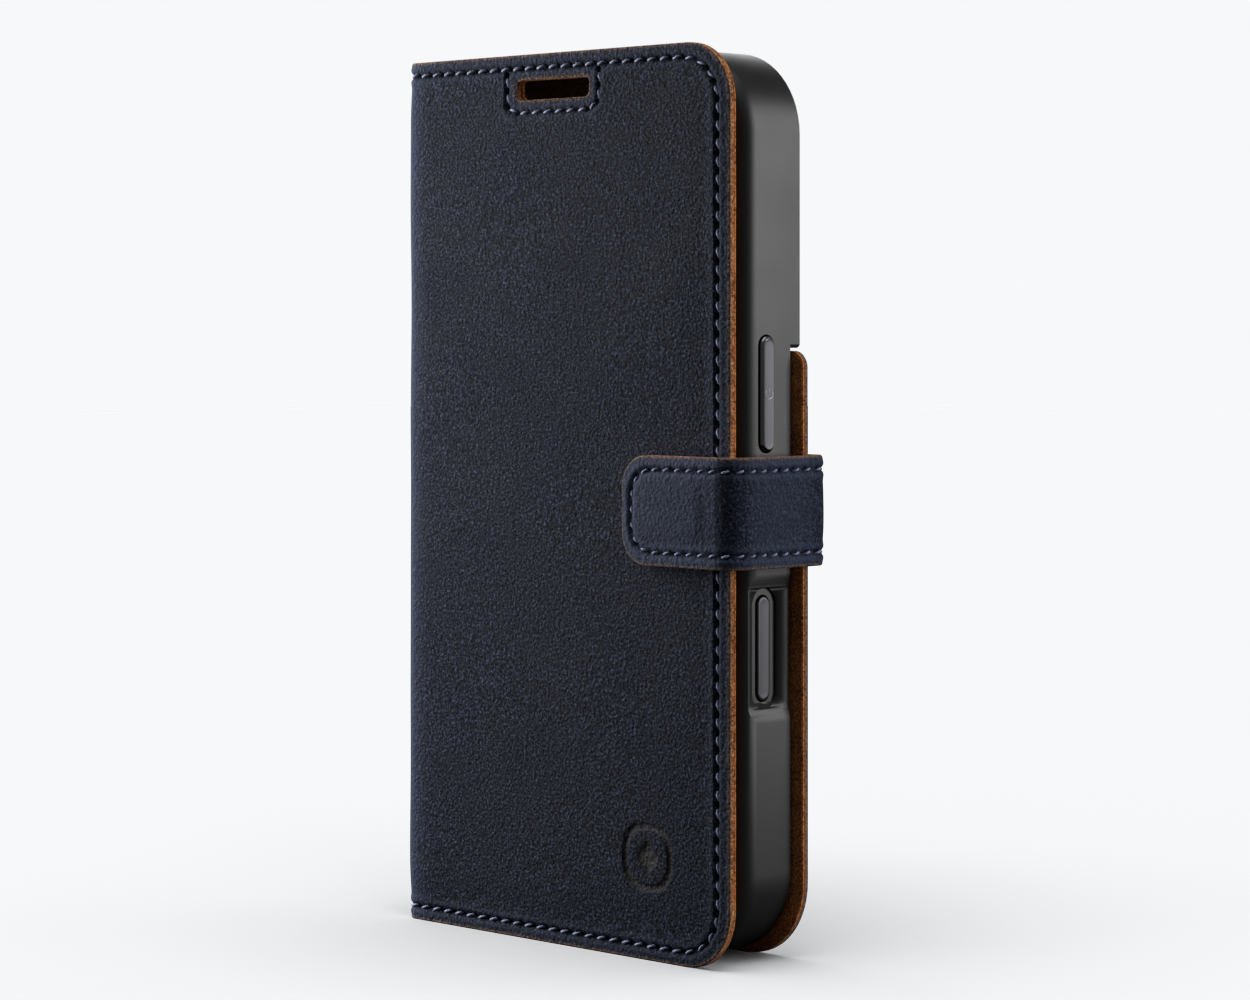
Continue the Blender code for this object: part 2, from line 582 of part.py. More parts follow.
def build_strap_tip(carrier, looks):
    right = TIP_FOLD[0] - TIP_START
    outline = strap_rect(STRAP_TIP_LEFT, right, (STRAP_CORNER, 0, 0, STRAP_CORNER))
    y = STRAP_TIP_BACK
    attach(slab("strap_tip_lining", [outline], y - STRAP_LINING, y), carrier, looks["suede"])
    y -= STRAP_LINING + GAP
    leather = attach(slab("strap_tip_leather", [outline], y - STRAP_TIP_LEATHER, y), carrier,
                     looks["leather"])
    x0, x1, z0, z1 = MAGNET
    bed = rounded_rect(x0 - GAP, x1 + GAP, z0 - GAP, z1 + GAP, MAGNET_CORNER + GAP, 2)
    cut_slab(leather, "magnet_bed", bed, y - MAGNET_BED, y + OVERCUT)
    magnet = rounded_rect(x0, x1, z0, z1, MAGNET_CORNER, 2)
    attach(slab("strap_magnet", [magnet], y - MAGNET_SHEET, y), carrier, looks["steel"])
    left, half = STRAP_TIP_LEFT + STRAP_TIP_SEAM_INSET, STRAP_WIDTH / 2 - STRAP_TIP_SEAM_INSET
    end, radius = right - STRAP_TIP_SEAM_END, STRAP_TIP_SEAM_CORNER
    path = [(end, STRAP_MID - half)]
    path += arc(left + radius, STRAP_MID - half + radius, radius, 270, 180, 5)
    path += arc(left + radius, STRAP_MID + half - radius, radius, 180, 90, 5)
    path += [(end, STRAP_MID + half)]
    sew(leather, "strap_tip_thread", path, y - STRAP_TIP_LEATHER, 1, carrier, looks["thread"])


def main():
    looks = {
        "leather": make_material("navy_nubuck", NAVY, 0.75),
        "suede": make_material("tan_suede", TAN, 0.9),
        "board": make_material("stiffener_board", (0.35, 0.28, 0.2), 0.95),
        "steel": make_material("nickel_steel", (0.56, 0.56, 0.58), 0.35, 1.0),
        "thread": make_material("blue_grey_thread", THREAD, 0.7),
        "shell": make_material("soft_touch_shell", (0.02, 0.02, 0.021), 0.5),
        "microfibre": make_material("grey_microfibre", (0.09, 0.09, 0.1), 0.95),
        "adhesive": make_material("foam_adhesive", (0.5, 0.5, 0.48), 0.8),
        "metal": make_material("dark_button_metal", (0.08, 0.08, 0.085), 0.35, 0.9),
    }
    build_back_panel(ROOT, looks)
    build_shell(ROOT, looks)
    build_strap_anchor(ROOT, looks)
    build_spine(body("spine_body", REAR_FOLD), looks)
    build_front_cover(body("front_cover_body", FRONT_FOLD), looks)
    build_strap_side(body("strap_side_body", STRAP_FOLD), looks)
    build_strap_tip(body("strap_tip_body", TIP_FOLD), looks)
    half = SHELL_WIDTH / 2
    build_button("side_button", 1, *SIDE_BUTTON, BUTTON_WIDTH, half + BUTTON_PROUD, looks)
    build_button("camera_button", 1, *CAMERA_BUTTON, CAMERA_BUTTON_WIDTH,
                 half - CAMERA_BUTTON_SUNK, looks)
    for name, (height, length) in LEFT_BUTTONS.items():
        build_button(name, -1, height, length, BUTTON_WIDTH, LEFT_BUTTON_FACE, looks)


main()
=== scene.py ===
import math

import bmesh
import bpy
import numpy as np
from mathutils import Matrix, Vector


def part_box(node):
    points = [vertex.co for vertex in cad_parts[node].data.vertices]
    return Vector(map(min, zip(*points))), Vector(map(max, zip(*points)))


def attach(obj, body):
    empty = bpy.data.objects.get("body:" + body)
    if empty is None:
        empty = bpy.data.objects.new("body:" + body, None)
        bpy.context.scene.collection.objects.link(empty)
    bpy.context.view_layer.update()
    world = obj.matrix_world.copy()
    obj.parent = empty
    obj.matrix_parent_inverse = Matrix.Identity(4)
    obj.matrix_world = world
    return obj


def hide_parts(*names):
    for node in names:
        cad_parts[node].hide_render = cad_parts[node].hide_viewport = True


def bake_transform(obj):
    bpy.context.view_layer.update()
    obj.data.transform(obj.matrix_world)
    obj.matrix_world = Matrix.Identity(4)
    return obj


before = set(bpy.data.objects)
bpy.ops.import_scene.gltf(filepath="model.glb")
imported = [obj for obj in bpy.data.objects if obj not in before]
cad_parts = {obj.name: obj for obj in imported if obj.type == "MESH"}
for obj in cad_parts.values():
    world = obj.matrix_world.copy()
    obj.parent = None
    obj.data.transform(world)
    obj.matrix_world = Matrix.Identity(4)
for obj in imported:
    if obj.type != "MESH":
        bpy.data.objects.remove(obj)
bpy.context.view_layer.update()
mm = 0.001
print("frame loaded,", len(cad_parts), "CAD nodes")


# stage: camera, pale floor and soft light
stageLook = {
    "turn": 45.37,              # degrees round from the front, towards the strap
    "distance": 0.6249, "eyeHeight": 0.10797, "aimX": -0.0009, "aimY": 0.0001,     # metres
    "lens": 102.6, "shiftX": 0.0189, "shiftY": -0.1418,
    "paper": "#f7f8fa",         # colour of the studio behind the case
    "floorTone": "#8a8b8d",     # only sets how much light the floor throws back up
    "roomLight": 0.08,          # light that the room itself throws on the case
    "nearBox": 0.85, "leftBox": 1.0, "rightBox": 5.8, "topBox": 2.6, "rearBox": 2.0,     # watts
}


def hexLinear(text):
    # sRGB hex to linear light: the two-part sRGB curve, channel by channel
    raw = np.array([int(text[i:i + 2], 16) for i in (1, 3, 5)]) / 255
    linear = np.where(raw <= 0.04045, raw / 12.92, ((raw + 0.055) / 1.055) ** 2.4)
    return (*linear.tolist(), 1.0)


def addNode(tree, kind, links=None, **settings):
    # one node: settings are its properties, links fill its sockets by name or number
    node = tree.nodes.new(kind)
    for key, value in settings.items():
        setattr(node, key, value)
    for key, value in (links or {}).items():
        socket = node.inputs[key]
        if isinstance(value, bpy.types.NodeSocket):
            tree.links.new(value, socket)
        else:
            socket.default_value = value
    return node


def newMaterial(name, values):
    # principled material with its sockets filled by name
    material = bpy.data.materials.new(name)
    material.use_nodes = True
    shader = material.node_tree.nodes["Principled BSDF"]
    for key, value in values.items():
        shader.inputs[key].default_value = value
    return material, material.node_tree, shader


def addCamera():
    data = bpy.data.cameras.new("studioCamera")
    data.lens, data.sensor_width = stageLook["lens"], 36
    data.shift_x, data.shift_y = stageLook["shiftX"], stageLook["shiftY"]
    data.clip_start, data.clip_end = 0.01, 50
    camera = bpy.data.objects.new("studioCamera", data)
    bpy.context.scene.collection.objects.link(camera)
    turn = math.radians(stageLook["turn"])
    camera.location = (stageLook["aimX"] + stageLook["distance"] * math.sin(turn),
                       stageLook["aimY"] - stageLook["distance"] * math.cos(turn), stageLook["eyeHeight"])
    camera.rotation_euler = (math.pi / 2, 0, turn)
    bpy.context.scene.camera = camera


def addFloor():
    # plain floor that shows nothing of itself but the case's shadow
    tone = hexLinear(stageLook["floorTone"])
    material = newMaterial("matt_white_floor", {"Roughness": 0.95, "Base Color": tone})[0]
    side = np.linspace(-3, 3, 5)     # metres
    x, y = np.meshgrid(side, side, indexing="ij")
    floor = meshObject("studioFloor", np.stack([x, y, 0 * x], -1), gridQuads(5, 5))
    floor.data.materials.append(material)
    floor.is_shadow_catcher = True
    return floor


def addLight(name, place, aim, width, height, watts):
    data = bpy.data.lights.new(name, "AREA")
    data.shape, data.size, data.size_y = "RECTANGLE", width, height
    data.energy = watts
    light = bpy.data.objects.new(name, data)
    light.location = place
    light.rotation_euler = (Vector(aim) - Vector(place)).to_track_quat("-Z", "Y").to_euler()
    light.visible_camera = False
    bpy.context.scene.collection.objects.link(light)
    return light


def addLights(floor):
    # the studio is pale to look at but throws little light, so that the boxes shape the leather
    world = bpy.data.worlds.new("paleStudio")
    world.use_nodes = True
    tree = world.node_tree
    seen = tree.nodes["Background"]
    seen.inputs["Color"].default_value = hexLinear(stageLook["paper"])
    room = addNode(tree, "ShaderNodeBackground",
                   {"Color": hexLinear("#fbfcfe"), "Strength": stageLook["roomLight"]})
    rays = addNode(tree, "ShaderNodeLightPath")
    both = addNode(tree, "ShaderNodeMixShader",
                   {0: rays.outputs["Is Camera Ray"], 1: room.outputs[0], 2: seen.outputs[0]})
    tree.links.new(both.outputs[0], tree.nodes["World Output"].inputs["Surface"])
    bpy.context.scene.world = world
    bpy.context.scene.view_settings.view_transform = "Standard"
    # each box: its place, what it aims at, its width and its height, in metres
    boxes = [addLight(name, *size, stageLook[name]) for name, *size in (
        ("nearBox", (-0.2, -0.1, 0.13), (0, -0.01, 0.09), 0.12, 0.24),
        ("leftBox", (-0.62, -0.42, 0.48), (-0.01, 0, 0.1), 0.45, 0.45),
        ("rightBox", (0.68, 0.5, 0.24), (0.03, 0, 0.08), 0.5, 0.7),
        ("rearBox", (-0.5, 0.65, 0.4), (0, 0, 0.08), 0.5, 0.5),
        ("topBox", (0.05, -0.12, 0.95), (0, 0, 0.05), 0.9, 0.9))]
    # the other boxes light the case alone, so that only the top box draws a shadow
    others = bpy.data.collections.new("notLitByBoxes")
    others.objects.link(floor)
    others.collection_objects[0].light_linking.link_state = "EXCLUDE"
    for box in boxes[:-1]:
        box.light_linking.receiver_collection = others


# meshes, sheets and lines
def gridQuads(rows, columns):
    # one quad for each cell of a rows x columns array of points
    index = np.arange(rows * columns).reshape(rows, columns)
    return np.stack([index[:-1, :-1], index[:-1, 1:], index[1:, 1:], index[1:, :-1]], -1)


def ringQuads(rings, sides):
    # quads between closed rings of points
    index = np.arange(rings * sides).reshape(rings, sides)
    after = np.roll(index, -1, 1)
    return np.stack([index[:-1], after[:-1], after[1:], index[1:]], -1).reshape(-1, 4)


def meshObject(name, vertices, quads, slots=None, attributes=None, sharpAngle=35):
    # a piece with a broken coordinate would vanish without a word, so it stops the script
    if not np.isfinite(vertices).all():
        raise ValueError(name + " has coordinates that are not numbers")
    mesh = bpy.data.meshes.new(name)
    used, remapped = np.unique(quads, return_inverse=True)
    quads = remapped.reshape(-1, 4)
    vertices = vertices.reshape(-1, 3)[used]
    mesh.vertices.add(len(vertices))
    mesh.vertices.foreach_set("co", vertices.astype(np.float32).ravel())
    mesh.loops.add(quads.size)
    mesh.loops.foreach_set("vertex_index", quads.astype(np.int32).ravel())
    mesh.polygons.add(len(quads))
    starts = np.arange(0, quads.size, quads.shape[1], dtype=np.int32)
    mesh.polygons.foreach_set("loop_start", starts)
    if slots is not None:
        mesh.polygons.foreach_set("material_index", slots.astype(np.int32))
    mesh.update(calc_edges=True)
    mesh.shade_smooth()
    mesh.set_sharp_from_angle(angle=math.radians(sharpAngle))
    for key, values in (attributes or {}).items():
        layer = mesh.attributes.new(key, "FLOAT", "POINT")
        layer.data.foreach_set("value", np.asarray(values, np.float32)[used])
    obj = bpy.data.objects.new(name, mesh)
    bpy.context.scene.collection.objects.link(obj)
    return obj


def cleanMesh(piece, weld=0, fill=True):
    # welds points that meet, closes open ends and turns every face outwards
    shape = bmesh.new()
    shape.from_mesh(piece.data)
    if weld:
        bmesh.ops.remove_doubles(shape, verts=shape.verts, dist=weld)
    if fill:
        bmesh.ops.holes_fill(shape, edges=shape.edges)
    bmesh.ops.recalc_face_normals(shape, faces=shape.faces)
    shape.to_mesh(piece.data)
    shape.free()


def dress(piece, *keys):
    for key in keys:
        piece.data.materials.append(materials[key])


def closedSheet(name, face, under, keep=None, attributes=None):
    # two point grids, the showing face and the underside, joined all round their open
    # edges, also round any cells left out; material 0 face, 1 underside, 2 cut edge
    rows, columns = face.shape[:2]
    quads = gridQuads(rows, columns)
    quads = quads[keep] if keep is not None else quads.reshape(-1, 4)
    flatFace = face.reshape(-1, 3)
    a, b, d = (flatFace[quads[:, k]] for k in (0, 1, 3))
    facing = np.einsum("ij,ij->i", np.cross(b - a, d - a), (face - under).reshape(-1, 3)[quads[:, 0]])
    if facing.sum() < 0:
        quads = quads[:, ::-1]
    count = rows * columns
    starts = quads.ravel()
    ends = np.roll(quads, -1, 1).ravel()
    open_ = ~np.isin(starts.astype(np.int64) * count + ends, ends.astype(np.int64) * count + starts)
    s, e = starts[open_], ends[open_]
    rim = np.stack([e, s, s + count, e + count], -1)
    faces = np.concatenate([quads, quads[:, ::-1] + count, rim])
    slots = np.repeat([0, 1, 2], [len(quads), len(quads), len(rim)])
    both = {k: np.concatenate([v.ravel(), v.ravel()]) for k, v in (attributes or {}).items()}
    points = np.concatenate([flatFace, under.reshape(-1, 3)])
    return meshObject(name, points, faces, slots, both)


def bentPath(corners, radii):
    # plan line through the corners, each turned with its own radius; gives for every
    # length along it the place and the unit normal on its left
    points = [np.array(corners[0], float)]
    for before, at, after, radius in zip(corners[:-2], corners[1:-1], corners[2:], radii):
        before, at, after = (np.array(c, float) for c in (before, at, after))
        into = (at - before) / np.linalg.norm(at - before)
        out = (after - at) / np.linalg.norm(after - at)
        turn = math.acos(np.clip(into @ out, -1, 1))
        cutBack = radius * math.tan(turn / 2)
        first = at - into * cutBack
        bend = into[0] * out[1] - into[1] * out[0]
        side = np.array([-into[1], into[0]]) * np.sign(bend)
        centre = first + side * radius
        for share in np.linspace(0, 1, 25):
            a = share * turn
            points.append(centre + radius * (into * math.sin(a) - side * math.cos(a)))
    points.append(np.array(corners[-1], float))
    points = np.array(points)
    # a corner without a turn or a radius gives the same place many times: keep it once
    apart = np.linalg.norm(np.diff(points, axis=0), axis=1) > 1e-7
    points = points[np.append(True, apart)]
    step = np.diff(points, axis=0)
    length = np.concatenate([[0], np.cumsum(np.linalg.norm(step, axis=1))])
    tangent = np.gradient(points, length, axis=0)
    tangent /= np.linalg.norm(tangent, axis=1)[:, None]
    tangent[0], tangent[-1] = step[0] / np.linalg.norm(step[0]), step[-1] / np.linalg.norm(step[-1])
    return {"length": length, "points": points, "normal": np.stack([-tangent[:, 1], tangent[:, 0]], -1)}


def alongPath(path, u, z, out):
    # sheet point: the path's place at length u, moved out along its normal, at height z
    length, points, normal = path["length"], path["points"], path["normal"]
    x, y = (np.interp(u, length, points[:, k]) for k in (0, 1))
    nx, ny = (np.interp(u, length, normal[:, k]) for k in (0, 1))
    size = np.hypot(nx, ny)
    return np.stack([x + out * nx / size, y + out * ny / size, z + 0 * x], -1)


def spread(low, high, step, tightLow=True, tightHigh=True, extra=(), lines=()):
    # one axis of a sheet's grid: close lines at the edges, where the rim and the seam are,
    # even lines between, any lines given, and close lines over each extra (from, to, step)
    least = 0.13 * mm
    rim = np.array([0, .07, .16, .28, .45, .7, 1.0, 1.3, 1.6, 1.85, 2.05, 2.25, 2.4, 2.55, 2.75, 2.95, 3.15,
                    3.4, 3.8, 4.4, 5.2, 6.2, 7.4, 8.7, 10.0]) * mm
    lines = [np.array([low, high]), np.asarray(lines, float)]
    start = low + (rim[-1] if tightLow else 0)
    stop = high - (rim[-1] if tightHigh else 0)
    if tightLow:
        lines.append(low + rim)
    if tightHigh:
        lines.append(high - rim)
    lines.append(np.linspace(start, stop, max(2, int(round((stop - start) / step)) + 1)))
    for first, last, fine in extra:
        lines.append(np.linspace(first, last, int(round((last - first) / fine)) + 1))
    every = np.sort(np.concatenate(lines))
    kept = [every[0]]
    for value in every[1:]:     # leaves out lines that crowd closer than least
        if value - kept[-1] > least:
            kept.append(value)
    kept[-1] = high
    return np.array(kept)


def roundCorner(u, z, cornerU, cornerZ, towardU, towardZ, radius, reach=0.0):
    # bends a square corner into an arc: inside the corner's square, a point whose larger
    # offset from the arc's centre is m moves to distance m from it, in its own direction;
    # beyond the arc the move fades out over reach
    p = (u - cornerU) * towardU + radius
    q = (z - cornerZ) * towardZ + radius
    inside = (p > 0) & (q > 0)
    m, h = np.maximum(p, q), np.hypot(p, q)
    if reach > 0:
        fade = np.clip(1 - (m - radius) / reach, 0, 1)
    else:
        fade = (m <= radius * 1.0001).astype(float)
    scale = np.where(inside, 1 + fade * (m / np.maximum(h, 1e-9) - 1), 1)
    newU = cornerU + towardU * (p * scale - radius)
    newZ = cornerZ + towardZ * (q * scale - radius)
    return np.where(inside, newU, u), np.where(inside, newZ, z)


def arcPoints(cu, cz, radius, start, end, steps=24):
    a = np.radians(np.linspace(start, end, steps))
    return np.stack([cu + radius * np.cos(a), cz + radius * np.sin(a)], -1)


def resample(points, pitch):
    # even steps along a polyline, as close to pitch as a whole number allows
    points = np.asarray(points, float)
    length = np.concatenate([[0], np.cumsum(np.linalg.norm(np.diff(points, axis=0), axis=1))])
    count = max(2, int(round(length[-1] / pitch)) + 1)
    at = np.linspace(0, length[-1], count)
    return np.stack([np.interp(at, length, points[:, k]) for k in range(points.shape[1])], -1)


def distanceTo(points, u, z, within=6 * mm):
    # distance of each grid point from a line of close points
    result = np.full(u.shape, 1.0)
    low, high = points.min(0) - within, points.max(0) + within
    near = (u > low[0]) & (u < high[0]) & (z > low[1]) & (z < high[1])
    a = np.stack([u[near], z[near]], -1).astype(np.float32)
    best = np.full(len(a), 1.0, np.float32)
    for part in np.array_split(points.astype(np.float32), max(1, len(points) // 40)):
        gap = np.linalg.norm(a[:, None] - part[None], axis=2).min(1)
        best = np.minimum(best, gap)
    result[near] = best
    return result


def ripple(u, z, size, seed):
    # slow hand-made unevenness: six sine waves of random direction and phase, about 1 high
    draw = np.random.default_rng(seed)
    total = 0
    for _ in range(6):
        direction, phase, stretch = draw.uniform(0, math.pi), draw.uniform(0, 6.28), draw.uniform(0.7, 1.5)
        along = u * math.cos(direction) + z * math.sin(direction)
        total = total + np.sin(along * 6.283 / (size * stretch) + phase)
    return total / 3


# stitches
stitchLook = {
    "pitch": 3.0 * mm, "length": 1.8 * mm, "thick": 0.215 * mm, "rise": 0.17 * mm, "sink": 0.36 * mm,
    "sunk": -0.17 * mm,         # height of the thread's middle over the leather
    "uprightSunk": 0.2 * mm,    # how much deeper an upright seam's thread is pulled
    "slant": 17.0,              # degrees that each stitch leans across its seam
}


def stitchMesh(name, centres, along, outward, look):
    # each stitch is a two-ply twisted thread: a ring with two lobes, turning as it goes,
    # carried along an arch that dives into the leather at both ends
    steps, sides = 9, 8
    t = np.linspace(0, 1, steps)
    theta = np.linspace(0, 2 * math.pi, sides, endpoint=False)
    centres, along, outward = (np.asarray(a, float) for a in (centres, along, outward))
    across = np.cross(outward, along)
    lift = look["rise"] + look["sink"]
    height = lift * np.sin(math.pi * t) ** 0.45 - look["sink"]
    run = (t - 0.5) * look["length"]
    slope = np.arctan2(np.gradient(height), np.gradient(run))
    lobes = 1 + 0.16 * np.cos(2 * (theta[None] - 7.0 * t[:, None]))
    width = look["thick"] * lobes * (0.82 + 0.18 * np.sin(math.pi * t))[:, None]
    sideways, upright = width * np.cos(theta), width * np.sin(theta)
    ringRun = run[:, None] - upright * np.sin(slope)[:, None]
    ringHeight = height[:, None] + upright * np.cos(slope)[:, None]
    points = (centres[:, None, None] + ringRun[None, ..., None] * along[:, None, None]
              + sideways[None, ..., None] * across[:, None, None]
              + ringHeight[None, ..., None] * outward[:, None, None])
    ringIndex = np.arange(steps * sides).reshape(steps, sides)
    caps = np.stack([np.stack([ring[[0, 3, 2, 1]], ring[[0, 5, 4, 3]], ring[[0, 7, 6, 5]]])
                     for ring in (ringIndex[0], ringIndex[-1][::-1])]).reshape(-1, 4)
    one = np.concatenate([ringQuads(steps, sides), caps])
    quads = np.arange(len(centres))[:, None, None] * steps * sides + one[None]
    piece = meshObject(name, points, quads, sharpAngle=80)
    cleanMesh(piece, fill=False)
    return piece


# materials
materials = {}


def objectPlace(tree):
    return addNode(tree, "ShaderNodeTexCoord").outputs["Object"]


def noise(tree, place, scale, detail, roughness=0.5):
    sockets = {"Vector": place, "Scale": scale, "Detail": detail, "Roughness": roughness}
    return addNode(tree, "ShaderNodeTexNoise", sockets).outputs["Fac"]


def painted(tree, name):
    # value painted on the points, nothing on a piece that has none
    return addNode(tree, "ShaderNodeAttribute", attribute_name=name).outputs["Fac"]


def mixColour(tree, factor, first, second):
    # each colour is a socket or hex text
    first, second = (hexLinear(c) if isinstance(c, str) else c for c in (first, second))
    return addNode(tree, "ShaderNodeMix", {0: factor, 6: first, 7: second}, data_type="RGBA").outputs[2]


def addBump(tree, shader, height, strength, depth):
    bump = addNode(tree, "ShaderNodeBump", {"Height": height, "Strength": strength, "Distance": depth})
    tree.links.new(bump.outputs["Normal"], shader.inputs["Normal"])


def varyRoughness(tree, shader, value, low, high):
    rough = addNode(tree, "ShaderNodeMapRange", {"Value": value, "To Min": low, "To Max": high})
    tree.links.new(rough.outputs["Result"], shader.inputs["Roughness"])


def ramp(tree, value, stops):
    # straight-line ramp through (place, grey) stops
    node = addNode(tree, "ShaderNodeValToRGB", {"Fac": value})
    band = node.color_ramp
    while len(band.elements) < len(stops):
        band.elements.new(0.5)
    for element, (place, grey) in zip(band.elements, stops):
        element.position = place
        element.color = (grey, grey, grey, 1)
    return node.outputs["Color"]


def makeNavyNubuck():
    # oiled nubuck: full-grain hide buffed to a short nap, then waxed. The eye sees a matt
    # mottled navy, pale where the nap stands or is rubbed, dark where it lies flat. The
    # nap's own grain, near 0.1 mm, is drawn about four times as coarse so that it shows.
    # The paler navy painted from the wear values is partly rubbed nap and partly a painted
    # highlight over the fold; the near-black painted round the needle holes is painted shade.
    material, tree, shader = newMaterial("oiled_navy_nubuck", {
        "Roughness": 0.78, "IOR": 1.45, "Specular IOR Level": 0.12, "Sheen Weight": 0.02,
        "Sheen Roughness": 0.45, "Sheen Tint": hexLinear("#aeb4c8")})
    place = objectPlace(tree)
    cloud = noise(tree, place, 60, 4, 0.6)
    patch = noise(tree, place, 520, 3, 0.65)
    nap = noise(tree, place, 2300, 3, 0.75)
    grain = addNode(tree, "ShaderNodeTexVoronoi", {"Vector": place, "Scale": 1700}, feature="SMOOTH_F1")
    loose = addNode(tree, "ShaderNodeMath",
                    {0: painted(tree, "raw"), 1: ramp(tree, nap, [(0.4, 0), (0.55, 1)])},
                    operation="MULTIPLY")
    pressed = painted(tree, "pressed")
    tint = mixColour(tree, ramp(tree, cloud, [(0.35, 0), (0.65, 1)]), "#0e121b", "#161b28")
    # paler navy where the wear values are painted: partly rubbed nap, partly a painted highlight; near-black
    # at the needle holes: painted shade
    for factor, colour in ((ramp(tree, patch, [(0.4, 0), (0.62, 0.8)]), "#1d2333"),
                           (ramp(tree, nap, [(0.51, 0), (0.66, 0.95)]), "#4d556d"),
                           (ramp(tree, nap, [(0.41, 0.95), (0.53, 0)]), "#040508"),
                           (painted(tree, "wearAndHighlight"), "#485066"), (loose.outputs[0], "#9a7654"),
                           (painted(tree, "needleHoleShade"), "#050505"), (pressed, "#2c2829")):
        tint = mixColour(tree, factor, tint, colour)
    tree.links.new(tint, shader.inputs["Base Color"])
    rough = addNode(tree, "ShaderNodeMapRange", {"Value": cloud, "To Min": 0.66, "To Max": 0.88})
    smooth = addNode(tree, "ShaderNodeMath", {0: pressed, 1: -0.35, 2: rough.outputs["Result"]},
                     operation="MULTIPLY_ADD")
    tree.links.new(smooth.outputs[0], shader.inputs["Roughness"])
    height = addNode(tree, "ShaderNodeMath", {0: nap, 1: grain.outputs["Distance"]}, operation="ADD")
    addBump(tree, shader, height.outputs[0], 1.0, 0.0003)
    return material


def makeSuede(name, deep, pale, fibre="#e09a5a", fuzz=0.00022, sheen=0.2):
    # split suede: the flesh side, brushed. Short loose fibres give a soft matt face with
    # small light and dark patches and a pale halo at grazing angles. Fibres near 0.05 mm
    # are drawn as tufts of about 0.3 mm.
    material, tree, shader = newMaterial(name, {
        "Roughness": 0.92, "IOR": 1.45, "Specular IOR Level": 0.3, "Sheen Weight": sheen,
        "Sheen Roughness": 0.5, "Sheen Tint": hexLinear(fibre)})
    place = objectPlace(tree)
    patch = noise(tree, place, 320, 4, 0.65)
    tuft = noise(tree, place, 2400, 3, 0.75)
    body = mixColour(tree, ramp(tree, patch, [(0.36, 0), (0.64, 1)]), deep, pale)
    lit = mixColour(tree, ramp(tree, tuft, [(0.5, 0), (0.68, 0.8)]), body, fibre)
    pits = mixColour(tree, ramp(tree, tuft, [(0.36, 0.85), (0.49, 0)]), lit, "#1c0e06")
    tree.links.new(pits, shader.inputs["Base Color"])
    addBump(tree, shader, tuft, 0.9, fuzz)
    return material


def makeThread():
    # bonded polyester thread, two-ply: pale blue with a soft silky line along each ply
    material, tree, shader = newMaterial("bonded_polyester_thread",
                                         {"Roughness": 0.55, "IOR": 1.5, "Sheen Weight": 0.3})
    place = objectPlace(tree)
    tint = mixColour(tree, noise(tree, place, 900, 2), "#5f688c", "#a3abd0")
    tree.links.new(tint, shader.inputs["Base Color"])
    addBump(tree, shader, noise(tree, place, 9000, 2), 0.4, 0.00005)
    return material


def makeShell(name, deep, pale, roughness, grit=4200, bumpDepth=0.00002):
    # soft-touch lacquer over moulded polycarbonate: even near-black with a broad dim gloss
    # and a very fine orange-peel
    material, tree, shader = newMaterial(name, {"Roughness": roughness, "IOR": 1.5})
    place = objectPlace(tree)
    cloud = noise(tree, place, 90, 3)
    tree.links.new(mixColour(tree, cloud, deep, pale), shader.inputs["Base Color"])
    varyRoughness(tree, shader, cloud, roughness - 0.05, roughness + 0.06)
    addBump(tree, shader, noise(tree, place, grit, 2), 0.35, bumpDepth)
    return material


def makeMetal(name, colour, roughness):
    # anodised aluminium or nickel: coloured mirror broken up by fine blasting
    material, tree, shader = newMaterial(name, {"Roughness": roughness, "Metallic": 1.0,
                                                "Base Color": hexLinear(colour)})
    grit = noise(tree, objectPlace(tree), 5200, 2)
    varyRoughness(tree, shader, grit, roughness - 0.04, roughness + 0.08)
    addBump(tree, shader, grit, 0.2, 0.00001)
    return material


def makeMaterials():
    materials["navy"] = makeNavyNubuck()
    materials["tan"] = makeSuede("tan_split_suede", "#7a4320", "#b16a36", "#e2ac76")
    materials["tanEdge"] = makeSuede("tan_cut_suede_edge", "#b0541a", "#dc8038", "#f4ae6a", 0.0001)
    materials["rawEdge"] = makeSuede("raw_cut_hide_edge", "#7a4220", "#b4703f", "#ecc498", 0.0003, 0.35)
    materials["thread"] = makeThread()
    materials["tanThread"] = makeSuede("tan_bonded_thread", "#b0713c", "#d79b62")
    materials["shell"] = makeShell("soft_touch_polycarbonate", "#161616", "#1b1b1b", 0.42)
    materials["microfibre"] = makeSuede("grey_knitted_microfibre", "#2b2b2e", "#4a4a4e", "#88888c")
    materials["keyFace"] = makeMetal("blasted_anodised_aluminium", "#4a4a4d", 0.38)
    materials["keyRim"] = makeMetal("diamond_cut_aluminium_rim", "#9a9a9e", 0.2)
    materials["steel"] = makeMetal("nickel_plated_steel", "#b8b6b0", 0.3)
    materials["board"] = makeShell("grey_pressed_fibreboard", "#6a5c4c", "#83745f", 0.9, 1500, 0.0001)
    materials["adhesive"] = makeShell("acrylic_foam_tape", "#b9b7b0", "#c9c7c0", 0.7, 1200, 0.0001)


makeMaterials()
addCamera()
addLights(addFloor())
print("stage and materials ready")


# places read from the frame
frontLow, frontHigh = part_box("front_leather")
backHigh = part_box("back_leather")[1]
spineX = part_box("spine_leather")[0].x
frontY, backY = frontLow.y, backHigh.y
rightX, backRightX = frontHigh.x, backHigh.x
coverTop = frontHigh.z
middleY = (frontY + backY) / 2


def cornerDistance(u, z, cornerU, cornerZ, towardU, towardZ, radius):
    # distance in from a rounded corner's arc, and a large number away from that corner
    p, q = (u - cornerU) * towardU + radius, (z - cornerZ) * towardZ + radius
    return np.where((p > 0) & (q > 0), radius - np.hypot(p, q), 1.0)


def boxDistance(u, z, lowU, highU, lowZ, highZ, radius):
    # signed distance from a rounded rectangle, negative inside it
    p = np.abs(u - (lowU + highU) / 2) - (highU - lowU) / 2 + radius
    q = np.abs(z - (lowZ + highZ) / 2) - (highZ - lowZ) / 2 + radius
    return np.hypot(np.maximum(p, 0), np.maximum(q, 0)) + np.minimum(np.maximum(p, q), 0) - radius


